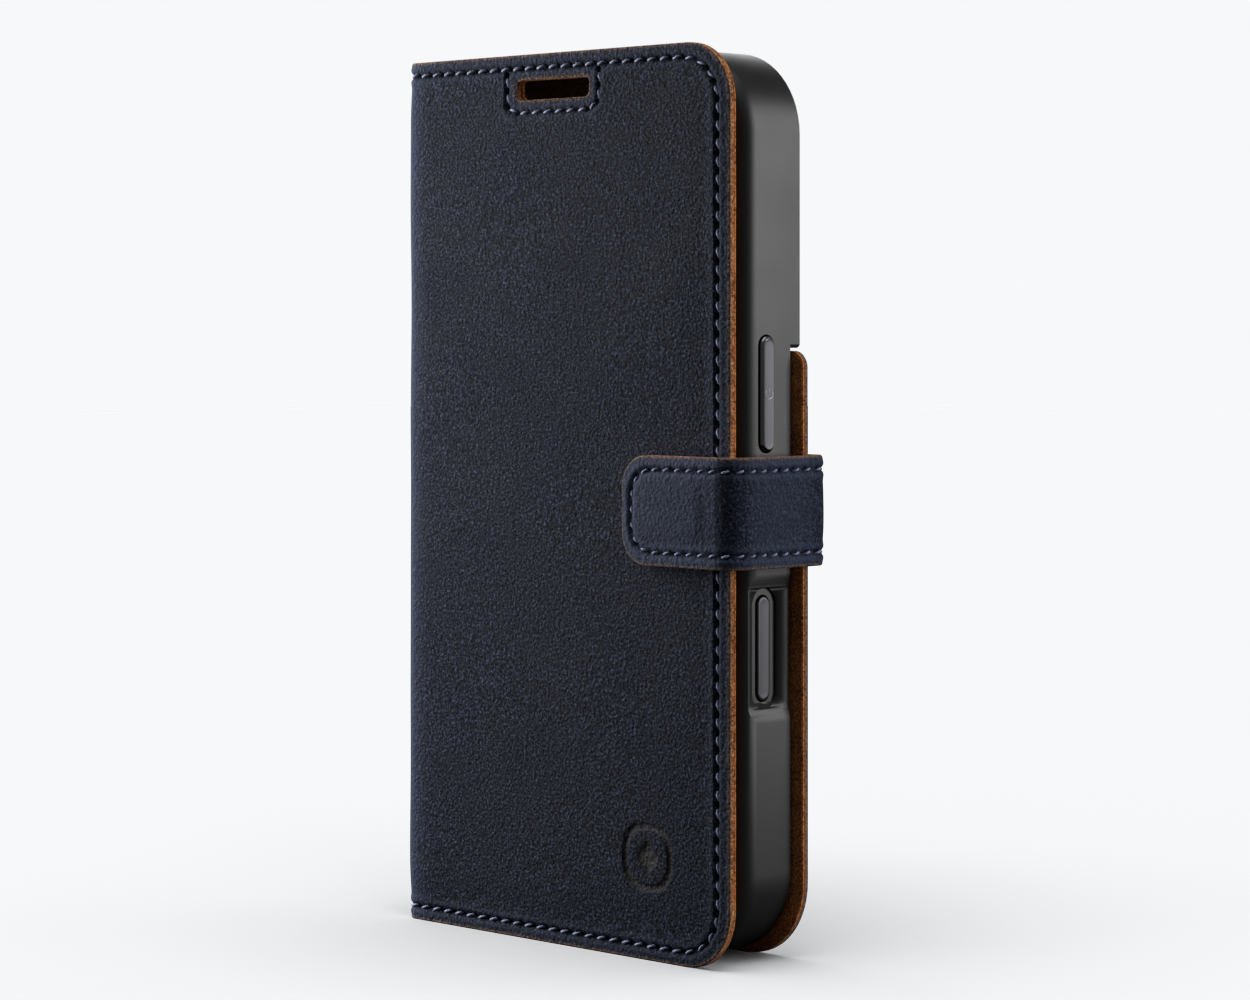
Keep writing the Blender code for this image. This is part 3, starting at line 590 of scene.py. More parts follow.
def rimDrop(distance, radius):
    # quarter-round at a cut edge: how far the face falls at this distance from it
    d = np.clip(distance, 0, radius)
    return radius - np.sqrt(radius ** 2 - (radius - d) ** 2)


def smoothStep(value):
    t = np.clip(value, 0, 1)
    return t * t * (3 - 2 * t)


def bell(distance, width):
    # 1 on a line, fading smoothly to nothing over about twice the width
    return np.exp(-(distance / width) ** 2)


def cornersOf(ends, low, high, *size):
    # corners of a sheet at each end, given as (place, toward): upper first, with their size
    return [(edge, edgeZ, toward, towardZ, *size)
            for edge, toward in ends for edgeZ, towardZ in ((high, 1), (low, -1))]


def roundCorners(u, z, corners):
    for corner in corners:
        u, z = roundCorner(u, z, *corner)
    return u, z


def fromEdge(straight, u, z, corners):
    # distance in from the nearest edge: the straight ones, then the rounded corners
    for corner in corners:
        straight = np.minimum(straight, cornerDistance(u, z, *corner))
    return np.maximum(straight, 0)


def outsideCells(u, z, lowU, highU, lowZ, highZ):
    # which grid cells have their middle outside an opening
    cu, cz = (u[:-1, :-1] + u[1:, 1:]) / 2, (z[:-1, :-1] + z[1:, 1:]) / 2
    return ~((cu > lowU) & (cu < highU) & (cz > lowZ) & (cz < highZ))


def bandSeam(start, end, low, high, radius, steps=24):
    # out along the lower edge, round the end and back along the upper edge
    return np.concatenate([[[start, low]], arcPoints(end - radius, low + radius, radius, -90, 0, steps),
                           arcPoints(end - radius, high - radius, radius, 0, 90, steps), [[start, high]]])


def exactLines(lines, exact):
    # moves the nearest grid line onto each place that has to lie on one
    lines = lines.copy()
    for value in exact:
        lines[np.abs(lines - value).argmin()] = value
    return lines


def seamRelief(u, z, line, look):
    # a pressed seam: a soft groove along the line, a dimple at every needle hole and a
    # low swell between the holes, where the leather puffs beside each stitch
    away = distanceTo(resample(line, 0.25 * mm), u, z)
    toHole = distanceTo(resample(line, stitchLook["pitch"]), u, z)
    groove = look["grooveDeep"] * bell(away, look["grooveWide"])
    dimple = look["holeDeep"] * bell(toHole, look["holeWide"])
    between = smoothStep(toHole / (1.6 * mm))
    puff = look["puff"] * bell(away - 1.0 * mm, 0.6 * mm) * (0.3 + 0.7 * between)
    return puff - groove - dimple, away, toHole


def finishSkin(piece, bodyA, bodyB, path, atU, slotName, nodes, reach=4.5 * mm):
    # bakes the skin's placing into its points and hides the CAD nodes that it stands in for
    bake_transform(piece)
    if nodes:
        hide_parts(*nodes)


def placeStitches(name, path, ends, out, body, material="thread", look=stitchLook, flip=1):
    # stitches between each hole and the next; flip is -1 on a sheet's inner side
    middle, step = (ends[:-1] + ends[1:]) / 2, np.diff(ends, axis=0)
    step /= np.linalg.norm(step, axis=1)[:, None]
    # threads of an upright seam are pulled deeper, as the needle was
    outs = out - flip * look["uprightSunk"] * np.abs(step[:, 1]) ** 3
    reach = 0.4 * mm
    here = alongPath(path, middle[:, 0], middle[:, 1], outs)
    ahead = alongPath(path, middle[:, 0] + step[:, 0] * reach, middle[:, 1] + step[:, 1] * reach, outs)
    above = alongPath(path, middle[:, 0], middle[:, 1], outs + flip * reach)
    along = (ahead - here) / np.linalg.norm(ahead - here, axis=1)[:, None]
    outward = (above - here) / np.linalg.norm(above - here, axis=1)[:, None]
    slant = math.radians(look["slant"])
    along = along * math.cos(slant) + np.cross(outward, along) * math.sin(slant)
    piece = stitchMesh(name, here, along, outward, look)
    dress(piece, material)
    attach(piece, body)
    return piece


def seamRuns(line, pitch, atU):
    # needle holes of a line cut where it crosses the fold, and whether each run lies past it
    ends = resample(line, pitch)
    past = (ends[:-1, 0] + ends[1:, 0]) / 2 > atU
    cuts = np.flatnonzero(np.diff(past.astype(int)) != 0) + 1
    return [(ends[run[0]:run[-1] + 2], bool(past[run[0]])) for run in np.split(np.arange(len(past)), cuts)]


def sewAlong(name, path, line, panelBody, node):
    # one line of stitches over a fold: those before the fold ride on the spine
    runs = seamRuns(line, stitchLook["pitch"], foldU)
    for ends in [run for run, past in runs if past]:
        piece = placeStitches(name, path, ends, stitchLook["sunk"], panelBody)
        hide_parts(node)
    for number, ends in enumerate([run for run, past in runs if not past]):
        placeStitches("%sSpine%d" % (name, number + 1), path, ends, stitchLook["sunk"], "spine")


def skinWearAndHighlight(u, edge, away):
    # where the nap is painted paler: along the rim and on the swell beside the seam, and most
    # over the fold, where it is partly rubbed nap and partly a painted highlight
    return (0.55 * np.exp(-edge / (0.55 * mm)) + 0.75 * bell(u - foldU, 3.2 * mm)
            + 0.22 * bell(away - 1.1 * mm, 0.5 * mm))


def rawRim(edge):
    # loose pale fibres where the hide was cut, mostly gone half a millimetre in from the rim
    return 0.95 * bell(edge, 0.34 * mm)


# front cover, from the middle of the spine round to the free edge
coverLook = {
    "bend": 2.7 * mm, "corner": 10.0 * mm, "leather": 1.05 * mm, "rimRound": 0.16 * mm,
    "seamInset": 2.4 * mm, "seamRight": 3.0 * mm, "swell": 0.22 * mm, "wave": 0.07 * mm,
    "slotCorner": 1.3 * mm, "slotFrame": 2.5 * mm, "slotSunk": 0.16 * mm,
    "grooveDeep": 0.34 * mm, "grooveWide": 0.46 * mm, "holeDeep": 0.42 * mm, "holeWide": 0.5 * mm,
    "puff": 0.2 * mm, "linerGlue": 0.1 * mm, "linerThick": 0.5 * mm, "linerDip": 0.35 * mm,
}
# the pressed sign low on the cover: a plain ring round a lozenge
signLook = {"x": 19.9 * mm, "z": 17.4 * mm, "ring": 5.2 * mm, "band": 0.55 * mm, "lozenge": 2.9 * mm,
            "deep": 0.34 * mm}
slotX = (-12.5 * mm, 5.5 * mm)
slotZ = (147.0 * mm, 150.5 * mm)

coverPath = bentPath([(spineX, middleY), (spineX, frontY), (rightX, frontY)], [coverLook["bend"]])
coverPath["normal"] *= -1
coverLong = coverPath["length"][-1]
foldU = middleY - frontY - coverLook["bend"] * (2 - math.pi / 2) / 2
coverCorners = cornersOf([(coverLong, 1)], 0, coverTop, coverLook["corner"])


def coverU(x):
    return coverLong - (rightX - x)


slotU = (coverU(slotX[0]), coverU(slotX[1]))


def coverSeam():
    # lower edge, free edge and upper edge in one line
    look = coverLook
    return bandSeam(0, coverLong - look["seamRight"], look["seamInset"], coverTop - look["seamInset"],
                    look["corner"] - look["seamInset"])


def slotSeam():
    # U-shaped line that hangs from the upper seam and frames the earpiece slot
    frameWide, bend = coverLook["slotFrame"], 2.2 * mm
    high = coverTop - coverLook["seamInset"] - 0.9 * mm
    left, right = slotU[0] - frameWide, slotU[1] + frameWide
    low = slotZ[0] - frameWide + 0.3 * mm
    return np.concatenate([[[left, high]], arcPoints(left + bend, low + bend, bend, 180, 270, 8),
                           arcPoints(right - bend, low + bend, bend, -90, 0, 8), [[right, high]]])


def holeLines(line, axis, low, high):
    # grid lines through a straight seam's needle holes, beside them and between them
    at = resample(line, stitchLook["pitch"])[:, axis]
    at = np.unique(np.round(at[(at > low) & (at < high)], 6))
    return np.concatenate([at - 0.36 * mm, at, at + 0.36 * mm, at[:-1] + np.diff(at) / 2])


def coverGrid():
    sign = coverU(signLook["x"])
    reach = signLook["ring"] + 0.8 * mm
    seam, bend = coverSeam(), coverLook["corner"]
    left, right = slotU
    u = spread(0, coverLong, 3 * mm, tightLow=False, lines=holeLines(seam, 0, 0, coverLong - bend), extra=[
        (foldU - 3 * mm, foldU + 3 * mm, 0.4 * mm), (left - 3.2 * mm, left - 1.8 * mm, 0.2 * mm),
        (left - 0.4 * mm, left + 1.4 * mm, 0.25 * mm), (right - 1.4 * mm, right + 0.4 * mm, 0.25 * mm),
        (right + 1.8 * mm, right + 3.2 * mm, 0.2 * mm), (sign - reach, sign + reach, 0.36 * mm)])
    z = spread(0, coverTop, 3 * mm, lines=holeLines(seam, 1, bend, coverTop - bend), extra=[
        (slotZ[0] - 3.0 * mm, slotZ[1] + 0.4 * mm, 0.25 * mm),
        (signLook["z"] - reach, signLook["z"] + reach, 0.36 * mm)])
    u, z = np.meshgrid(exactLines(u, slotU), exactLines(z, slotZ), indexing="ij")
    solid = outsideCells(u, z, *slotU, *slotZ)
    slotCorners = cornersOf([(right, 1), (left, -1)], *slotZ, coverLook["slotCorner"], 1.2 * mm)
    return (*roundCorners(u, z, coverCorners + slotCorners), solid)


def signMask(u, z):
    # 1 inside the pressed sign's strokes, falling to 0 over a third of a millimetre
    look = signLook
    du, dz = u - coverU(look["x"]), z - look["z"]
    ring = np.abs((np.abs(du) ** 2.6 + np.abs(dz) ** 2.6) ** (1 / 2.6) - look["ring"]) - look["band"]
    lozenge = (np.abs(du) * 1.15 + np.abs(dz)) / 1.5 - look["lozenge"] / 1.5
    return 1 - smoothStep(np.minimum(ring, lozenge) / (0.35 * mm) + 0.5)


def buildCover():
    look = coverLook
    u, z, solid = coverGrid()
    seam, frameSeam = coverSeam(), slotSeam()
    edge = fromEdge(np.minimum(np.minimum(z, coverTop - z), coverLong - u), u, z, coverCorners)
    slotAway = boxDistance(u, z, *slotU, *slotZ, look["slotCorner"])
    outSlot = np.maximum(slotAway, 0)
    seamRise, seamAway, seamHole = seamRelief(u, z, seam, look)
    frameRise, frameAway, frameHole = seamRelief(u, z, frameSeam, look)
    away, toHole = np.minimum(seamAway, frameAway), np.minimum(seamHole, frameHole)
    sign = signMask(u, z)
    field = smoothStep((edge - 3.2 * mm) / (7 * mm))
    frameIn = boxDistance(u, z, slotU[0] - look["slotFrame"], slotU[1] + look["slotFrame"],
                          slotZ[0] - look["slotFrame"], coverTop, 1.5 * mm)
    sunk = look["slotSunk"] * smoothStep(-frameIn / (1.2 * mm)) * smoothStep(edge / (3 * mm))
    rise = (look["swell"] * field + look["wave"] * ripple(u, z, 26 * mm, 4) * smoothStep(edge / (5 * mm))
            + np.where(seamAway < frameAway, seamRise, frameRise) - sunk - rimDrop(edge, look["rimRound"])
            - rimDrop(outSlot, 0.3 * mm) - signLook["deep"] * sign)
    # paler nap painted along the rim, round the slot, beside the seam and most over the fold, where it is
    # partly rubbed nap and partly a painted highlight
    wearAndHighlight = skinWearAndHighlight(u, edge, away) + 0.25 * np.exp(-outSlot / (0.5 * mm))
    # near-black painted round each needle hole: painted shade in the holes
    paint = {"wearAndHighlight": wearAndHighlight, "needleHoleShade": 0.9 * bell(toHole, 0.55 * mm), "pressed": sign,
             "raw": rawRim(np.minimum(edge, np.abs(slotAway)))}
    piece = closedSheet("coverLeather", alongPath(coverPath, u, z, rise),
                        alongPath(coverPath, u, z, -look["leather"] + 0 * u), solid, paint)
    dress(piece, "navy", "rawEdge", "rawEdge")
    finishSkin(piece, "spine", "front_cover", coverPath, foldU, "navy_leather",
               ["front_leather", "front_fold", "spine_leather"])

    # suede lining, glued under the leather: it meets it at the rim and clears the board inside
    dip = look["linerDip"] * smoothStep((edge - 3.5 * mm) / (3 * mm))
    outer = -look["leather"] - look["linerGlue"] - dip
    inner = outer - look["linerThick"] + rimDrop(edge, 0.2 * mm) + 0.04 * mm * ripple(u, z, 17 * mm, 9)
    lining = closedSheet("coverLining", alongPath(coverPath, u, z, inner - seamRise * 0.5),
                         alongPath(coverPath, u, z, outer), solid)
    dress(lining, "tan", "tan", "tanEdge")
    finishSkin(lining, "spine", "front_cover", coverPath, foldU, "tan_leather",
               ["front_lining", "spine_lining"])

    sewAlong("coverStitches", coverPath, seam, "front_cover", "front_thread")
    pitch = stitchLook["pitch"]
    placeStitches("slotStitches", coverPath, resample(frameSeam, pitch), stitchLook["sunk"], "front_cover")
    inside = -look["leather"] - look["linerGlue"] - look["linerThick"] - 0.02 * mm
    placeStitches("liningStitches", coverPath, resample(seam[seam[:, 0] > foldU + 3 * mm], pitch), inside,
                  "front_cover", "tanThread", flip=-1)


# back panel: L-shaped, full height beside the spine, stepped under the camera plateau
backLook = dict(coverLook, rimRound=0.38 * mm, corner=13.0 * mm, shoulder=2.8 * mm, inner=4.0 * mm,
                stripCorner=2.0 * mm, swell=0.3 * mm, linerDip=0.3 * mm)
notchX, notchZ = -29.4 * mm, 103.2 * mm
backPath = bentPath([(spineX, middleY), (spineX, backY), (backRightX, backY)], [backLook["bend"]])
backLong = backPath["length"][-1]
notchU = backLong - (backRightX - notchX)


def backSeam():
    look, inset = backLook, backLook["seamInset"]
    right, low, step = backLong - inset, inset, notchZ - inset
    corner, shoulder = look["corner"] - inset, max(look["shoulder"] - inset, 1.6 * mm)
    inner, left, turn = look["inner"] + inset, notchU - inset, 1 * mm
    return np.concatenate([
        [[0, low]],
        arcPoints(right - corner, low + corner, corner, -90, 0),
        arcPoints(right - shoulder, step - shoulder, shoulder, 0, 90, 12),
        arcPoints(notchU + look["inner"], notchZ + look["inner"], inner, 270, 180, 12),
        [[left, coverTop - inset - turn], [left - turn, coverTop - inset], [0, coverTop - inset]],
    ])


def backGrid():
    look = backLook
    seam = backSeam()
    # the seam's lower edge and corner are its first 25 points, its upright side joins the next
    lower, upright = seam[:25], seam[24:26]
    u = spread(0, backLong, 3 * mm, tightLow=False, lines=holeLines(lower, 0, 0, backLong - look["corner"]),
               extra=[(foldU - 3 * mm, foldU + 3 * mm, 0.4 * mm),
                      (notchU - 5 * mm, notchU + 5 * mm, 0.3 * mm)])
    z = spread(0, coverTop, 2 * mm, lines=holeLines(upright, 1, look["corner"], notchZ),
               extra=[(notchZ - 9 * mm, notchZ + 5 * mm, 0.3 * mm)])
    u, z = np.meshgrid(exactLines(u, [notchU]), exactLines(z, [notchZ]), indexing="ij")
    solid = outsideCells(u, z, notchU, 1, notchZ, 1)
    corners = [(backLong, 0, 1, -1, look["corner"]), (backLong, notchZ, 1, 1, look["shoulder"]),
               (notchU, coverTop, 1, 1, look["stripCorner"]), (notchU, notchZ, -1, -1, look["inner"], 3 * mm)]
    return (*roundCorners(u, z, corners), solid)


def backEdge(u, z):
    look = backLook
    ends = np.minimum(z, coverTop - z)
    d = np.minimum(ends, backLong - u)
    d = np.minimum(d, np.where(u > notchU, notchZ - z, 1))
    d = np.minimum(d, np.where(z > notchZ, notchU - u, 1))
    p, q = look["inner"] - (u - notchU), look["inner"] - (z - notchZ)
    d = np.where((p > 0) & (q > 0), np.minimum(np.hypot(p, q) - look["inner"], ends), d)
    for place in ((backLong, 0, 1, -1, look["corner"]), (backLong, notchZ, 1, 1, look["shoulder"]),
                  (notchU, coverTop, 1, 1, look["stripCorner"])):
        here = cornerDistance(u, z, *place)
        here = np.where((z > place[1] + 0.01 * mm) & (place[1] == notchZ), 1, here)
        d = np.minimum(d, here)
    return np.maximum(d, 0)


def buildBack():
    look = backLook
    u, z, solid = backGrid()
    seam = backSeam()
    edge = backEdge(u, z)
    relief, away, toHole = seamRelief(u, z, seam, look)
    field = smoothStep((edge - 3.2 * mm) / (8 * mm))
    rise = (look["swell"] * field + look["wave"] * ripple(u, z, 30 * mm, 14) * smoothStep(edge / (5 * mm))
            + relief - rimDrop(edge, look["rimRound"]))
    # paler nap painted at rim, seam swell and fold (over the fold partly a painted highlight); near-black
    # round the needle holes is painted shade
    paint = {"wearAndHighlight": skinWearAndHighlight(u, edge, away), "needleHoleShade": 0.9 * bell(toHole, 0.55 * mm), "raw": rawRim(edge)}
    piece = closedSheet("backLeather", alongPath(backPath, u, z, rise),
                        alongPath(backPath, u, z, -look["leather"] + 0 * u), solid, paint)
    dress(piece, "navy", "rawEdge", "navy")
    # the same line walked from its other end, with the fold measured from that end
    turned = {"length": backLong - backPath["length"][::-1], "points": backPath["points"][::-1],
              "normal": backPath["normal"][::-1]}
    foldAt = backLong - foldU
    finishSkin(piece, "back", "spine", turned, foldAt, "navy_leather", ["back_leather", "rear_fold"])

    dip = look["linerDip"] * smoothStep((edge - 3.5 * mm) / (3 * mm))
    outer = -look["leather"] - look["linerGlue"] - dip
    inner = outer - look["linerThick"] + rimDrop(edge, 0.2 * mm)
    lining = closedSheet("backLining", alongPath(backPath, u, z, inner),
                         alongPath(backPath, u, z, outer), solid)
    dress(lining, "tan", "tan", "tanEdge")
    finishSkin(lining, "back", "spine", turned, foldAt, "tan_leather", ["back_lining"])
    sewAlong("backStitches", backPath, seam, "back", "back_thread")


# pockets on the inside of the front cover
pocketLook = {"edgeRound": 0.12 * mm, "seamInset": 2.0 * mm, "thumb": 8.0 * mm, "thumbZ": 67.0 * mm,
              "noteCorner": 7.0 * mm, "cardCorner": 6.0 * mm, "crown": 0.06 * mm, "threadRise": 0.1 * mm}


def buildPocket(node, name, corner, thumb):
    look = pocketLook
    low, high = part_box(node)
    wide, thick = high.x - low.x, high.y - low.y
    path = bentPath([(low.x, high.y), (low.x + wide / 2, high.y), (high.x, high.y)], [0.0])
    extra = [(look["thumbZ"] - 9 * mm, look["thumbZ"] + 9 * mm, 0.5 * mm)] if thumb else ()
    u, z = np.meshgrid(spread(0, wide, 1.6 * mm), spread(low.z, high.z, 1.6 * mm, extra=extra), indexing="ij")
    corners = cornersOf([(wide, 1)], low.z, high.z, corner)
    u, z = roundCorners(u, z, corners)
    edge = fromEdge(np.minimum(np.minimum(z - low.z, high.z - z), np.minimum(u, wide - u)), u, z, corners)
    if thumb:   # half-round finger scoop in the open edge: rows there start further in
        bite = np.sqrt(np.maximum(look["thumb"] ** 2 - (z - look["thumbZ"]) ** 2, 0))
        u = bite + u * (wide - bite) / wide
    inset = look["seamInset"]
    seam = bandSeam(0.8 * mm, wide - inset, low.z + inset, high.z - inset, corner - inset)
    drop = rimDrop(edge, look["edgeRound"])
    rise = (0.35 * seamRelief(u, z, seam, coverLook)[0] - drop
            + look["crown"] * smoothStep(edge / (8 * mm)) * ripple(u, z, 30 * mm, 21))
    piece = closedSheet(name, alongPath(path, u, z, rise), alongPath(path, u, z, -thick + drop))
    dress(piece, "tan", "tan", "tanEdge")
    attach(piece, "front_cover")
    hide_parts(node)
    placeStitches(name + "Stitches", path, resample(seam, stitchLook["pitch"]), 0.0, "front_cover",
                  "tanThread", dict(stitchLook, rise=look["threadRise"]))


# strap: one band of leather faced with suede, tail to tip
strapLook = {
    "rearBend": 2.2 * mm, "frontBend": 4.6 * mm, "corner": 5.5 * mm, "tailCorner": 2.0 * mm,
    # the strap's overall paler paint: partly rubbed nap, partly painted light
    "seamInset": 2.3 * mm, "rimRound": 0.25 * mm, "swell": 0.16 * mm, "magnetRise": 0.3 * mm, "paleWearAndLight": 0.4,
    "grooveDeep": 0.3 * mm, "grooveWide": 0.44 * mm, "holeDeep": 0.38 * mm, "holeWide": 0.48 * mm,
    "puff": 0.18 * mm, "narrowed": 0.6 * mm, "stitchLong": 1.35 * mm, "stitchThick": 0.19 * mm,
    "split": 0.55 * mm,         # thickness of the suede, which meets the leather there
}


def strapPart(name, path, bodies, foldAtU, endThick, seam, leatherNodes, suedeNodes, end, extra,
              magnetU=None):
    # endThick: thickness at the start and the end of the path; end: u, toward, corner radius
    look = strapLook
    low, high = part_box("strap_tail")
    low.z += look["narrowed"]
    endU, toward, radius = end
    u = spread(0, path["length"][-1], 0.45 * mm, tightLow=toward < 0, tightHigh=toward > 0, extra=extra)
    u, z = np.meshgrid(u, spread(low.z, high.z, 0.5 * mm), indexing="ij")
    corners = cornersOf([(endU, toward)], low.z, high.z, radius)
    u, z = roundCorners(u, z, corners)
    edge = fromEdge(np.minimum(np.minimum(z - low.z, high.z - z), np.abs(endU - u)), u, z, corners)
    relief, away, toHole = seamRelief(u, z, seam, look)
    rise = look["swell"] * smoothStep((edge - 2.6 * mm) / (4 * mm)) + relief - rimDrop(edge, look["rimRound"])
    rise = rise + 0.05 * mm * ripple(u, z, 11 * mm, 31) * smoothStep(edge / (3 * mm))
    if magnetU is not None:
        magnet = boxDistance(u, z, *magnetU, low.z + 4 * mm, high.z - 4 * mm, 3 * mm)
        rise = rise + look["magnetRise"] * smoothStep(-magnet / (2.4 * mm) + 0.4)
    share = smoothStep((u - foldAtU + 3 * mm) / (6 * mm))
    thick = endThick[0] + (endThick[1] - endThick[0]) * share
    # painted paler all over but for the fold: partly rubbed nap and partly painted light; the fold
    # left darker is painted shade at the bend. Paler again at the rim, a little over the fold and on
    # the swell beside the seam; near-black round the needle holes, which is painted shade
    wearAndHighlight = (look["paleWearAndLight"] * (1 - bell(u - foldAtU, 4 * mm)) + 0.5 * np.exp(-edge / (0.6 * mm))
            + 0.1 * bell(u - foldAtU, 3 * mm) + 0.3 * bell(away - 1.0 * mm, 0.5 * mm))
    paint = {"wearAndHighlight": wearAndHighlight, "needleHoleShade": 0.9 * bell(toHole, 0.5 * mm), "raw": rawRim(edge)}
    split = look["split"]
    leather = closedSheet(name + "Leather", alongPath(path, u, z, rise),
                          alongPath(path, u, z, -thick + split + 0.02 * mm), None, paint)
    suede = closedSheet(name + "Suede", alongPath(path, u, z, -thick + rimDrop(edge, 0.2 * mm)),
                        alongPath(path, u, z, -thick + split))
    dress(leather, "navy", "rawEdge", "rawEdge")
    dress(suede, "tan", "tan", "rawEdge")
    finishSkin(leather, *bodies, path, foldAtU, "navy_leather", leatherNodes, 3.4 * mm)
    finishSkin(suede, *bodies, path, foldAtU, "tan_leather", suedeNodes, 3.4 * mm)


def strapSeam(name, path, line, atU, bodies, node, nodeOnSecond):
    look = dict(stitchLook, length=strapLook["stitchLong"], thick=strapLook["stitchThick"])
    for number, (ends, second) in enumerate(seamRuns(line, stitchLook["pitch"] * 0.9, atU)):
        piece = placeStitches("%sStitches%d" % (name, number + 1), path, ends, stitchLook["sunk"],
                              bodies[1] if second else bodies[0], look=look)
        if second == nodeOnSecond:
            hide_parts(node)


def buildStrap():
    look, inset = strapLook, strapLook["seamInset"]
    tailLow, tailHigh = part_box("strap_tail")
    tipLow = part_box("strap_tip_leather")[0]
    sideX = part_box("strap_side_leather")[1].x
    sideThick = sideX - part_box("strap_side_lining")[0].x
    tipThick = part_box("strap_tip_lining")[1].y - tipLow.y
    splitY = (tailHigh.y + tipLow.y) / 2
    rear = bentPath([(tailLow.x, tailHigh.y), (sideX, tailHigh.y), (sideX, splitY)], [look["rearBend"]])
    front = bentPath([(sideX, splitY), (sideX, tipLow.y), (tipLow.x, tipLow.y)], [look["frontBend"]])
    rearFold = sideX - tailLow.x - look["rearBend"] * (2 - math.pi / 2) / 2
    frontFold = splitY - tipLow.y - look["frontBend"] * (2 - math.pi / 2) / 2
    tailLow.z += look["narrowed"]
    low, high = tailLow.z + inset, tailHigh.z - inset
    meet, tip = rear["length"][-1], front["length"][-1]
    tailSeam = np.array([[meet, low], [inset, low], [inset, high], [meet, high]])
    tipSeam = bandSeam(0, tip - inset, low, high, look["corner"] - inset + 1.2 * mm, 14)
    strapPart("strapRear", rear, ("back", "strap_side"), rearFold,
              (tailHigh.y - tailLow.y, sideThick), tailSeam,
              ["strap_tail", "strap_fold", "strap_side_leather"], ["strap_side_lining"],
              (0.0, -1, look["tailCorner"]), [(rearFold - 3 * mm, rearFold + 3 * mm, 0.25 * mm)])
    strapPart("strapFront", front, ("strap_side", "strap_tip"), frontFold, (sideThick, tipThick), tipSeam,
              ["strap_tip_fold", "strap_tip_leather"], ["strap_tip_lining"],
              (tip, 1, look["corner"]), [(frontFold - 4 * mm, frontFold + 4 * mm, 0.25 * mm)],
              (tip - 19 * mm, tip - 3 * mm))
    strapSeam("strapTail", rear, tailSeam, rearFold, ("back", "strap_side"), "strap_tail_thread", False)
    strapSeam("strapTip", front, tipSeam, frontFold, ("strap_side", "strap_tip"), "strap_tip_thread", True)


# phone shell, its liner and its keys
shellLook = {"breakEdge": 0.16 * mm, "backEdge": 0.45 * mm, "backZone": 2.9 * mm,
             "smooth": 32}      # degrees: the sharpest turn that still counts as smooth
linerLook = {"corner": 12.1 * mm, "holeX": (-21.9 * mm, 31.1 * mm), "holeZ": (112.0 * mm, 147.0 * mm),
             "holeCorner": 10.0 * mm}


def buildShell():
    # the moulding keeps the CAD solid's shape: its triangles are merged, flat ones joined,
    # and every cut edge is broken by a small round
    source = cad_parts["phone_shell"]
    mesh = source.data.copy()
    mesh.name = "shellBody"
    shape = bmesh.new()
    shape.from_mesh(mesh)
    bmesh.ops.remove_doubles(shape, verts=shape.verts, dist=2e-6)
    bmesh.ops.dissolve_limit(shape, angle_limit=math.radians(0.4), verts=shape.verts, edges=shape.edges)
    shape.to_mesh(mesh)
    shape.free()
    mesh.materials.clear()
    mesh.materials.append(materials["shell"])
    mesh.shade_smooth()
    mesh.set_sharp_from_angle(angle=math.radians(shellLook["smooth"]))
    # back rims take the full bevel, every other sharp edge a finer one
    places, ends = np.empty(len(mesh.vertices) * 3), np.empty(len(mesh.edges) * 2, np.int32)
    mesh.vertices.foreach_get("co", places)
    mesh.edges.foreach_get("vertices", ends)
    sharp = np.zeros(len(mesh.edges), bool)
    mesh.attributes["sharp_edge"].data.foreach_get("value", sharp)
    depth = places.reshape(-1, 3)[ends.reshape(-1, 2), 1].min(1)
    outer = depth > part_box("phone_shell")[1].y - shellLook["backZone"]
    weight = mesh.attributes.new("bevel_weight_edge", "FLOAT", "EDGE")
    share = shellLook["breakEdge"] / shellLook["backEdge"]
    weight.data.foreach_set("value", (sharp * np.where(outer, 1.0, share)).astype(np.float32))
    piece = bpy.data.objects.new("shellBody", mesh)
    bpy.context.scene.collection.objects.link(piece)
    bevel = piece.modifiers.new("brokenEdges", "BEVEL")
    bevel.width, bevel.segments = shellLook["backEdge"], 3
    bevel.limit_method = "WEIGHT"
    bevel.use_clamp_overlap = True
    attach(piece, "back")
    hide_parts("phone_shell")


def buildLiner():
    look = linerLook
    low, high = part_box("shell_liner")
    wide, thick = high.x - low.x, high.y - low.y
    left, right = (x - low.x for x in look["holeX"])
    path = bentPath([(low.x, low.y), (low.x + wide / 2, low.y), (high.x, low.y)], [0.0])
    path["normal"] *= -1
    u = exactLines(spread(0, wide, 1.5 * mm), (left, right))
    z = exactLines(spread(low.z, high.z, 1.5 * mm), look["holeZ"])
    u, z = np.meshgrid(u, z, indexing="ij")
    solid = outsideCells(u, z, left, right, *look["holeZ"])
    u, z = roundCorners(u, z, cornersOf([(wide, 1), (0, -1)], low.z, high.z, look["corner"])
                        + cornersOf([(right, 1), (left, -1)], *look["holeZ"], look["holeCorner"], 2 * mm))
    piece = closedSheet("shellLiner", alongPath(path, u, z, 0 * u),
                        alongPath(path, u, z, -thick + 0 * u), solid)
    dress(piece, "microfibre", "microfibre", "microfibre")
    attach(piece, "back")
    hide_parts("shell_liner")


keyLook = {
    # inset from the outline and depth below the face, in millimetres, from the root inwards
    "proud": [(0.0, 2.3), (0.0, 0.42), (0.05, 0.34), (0.36, 0.03), (0.44, 0.0), (0.56, 0.03), (0.75, 0.05),
              (1.2, 0.06), (1.7, 0.06)],
    "flush": [(0.0, 1.1), (0.0, 0.22), (0.06, 0.12), (0.16, 0.04), (0.3, 0.0), (0.6, 0.02), (1.0, 0.04),
              (1.5, 0.05)],
}


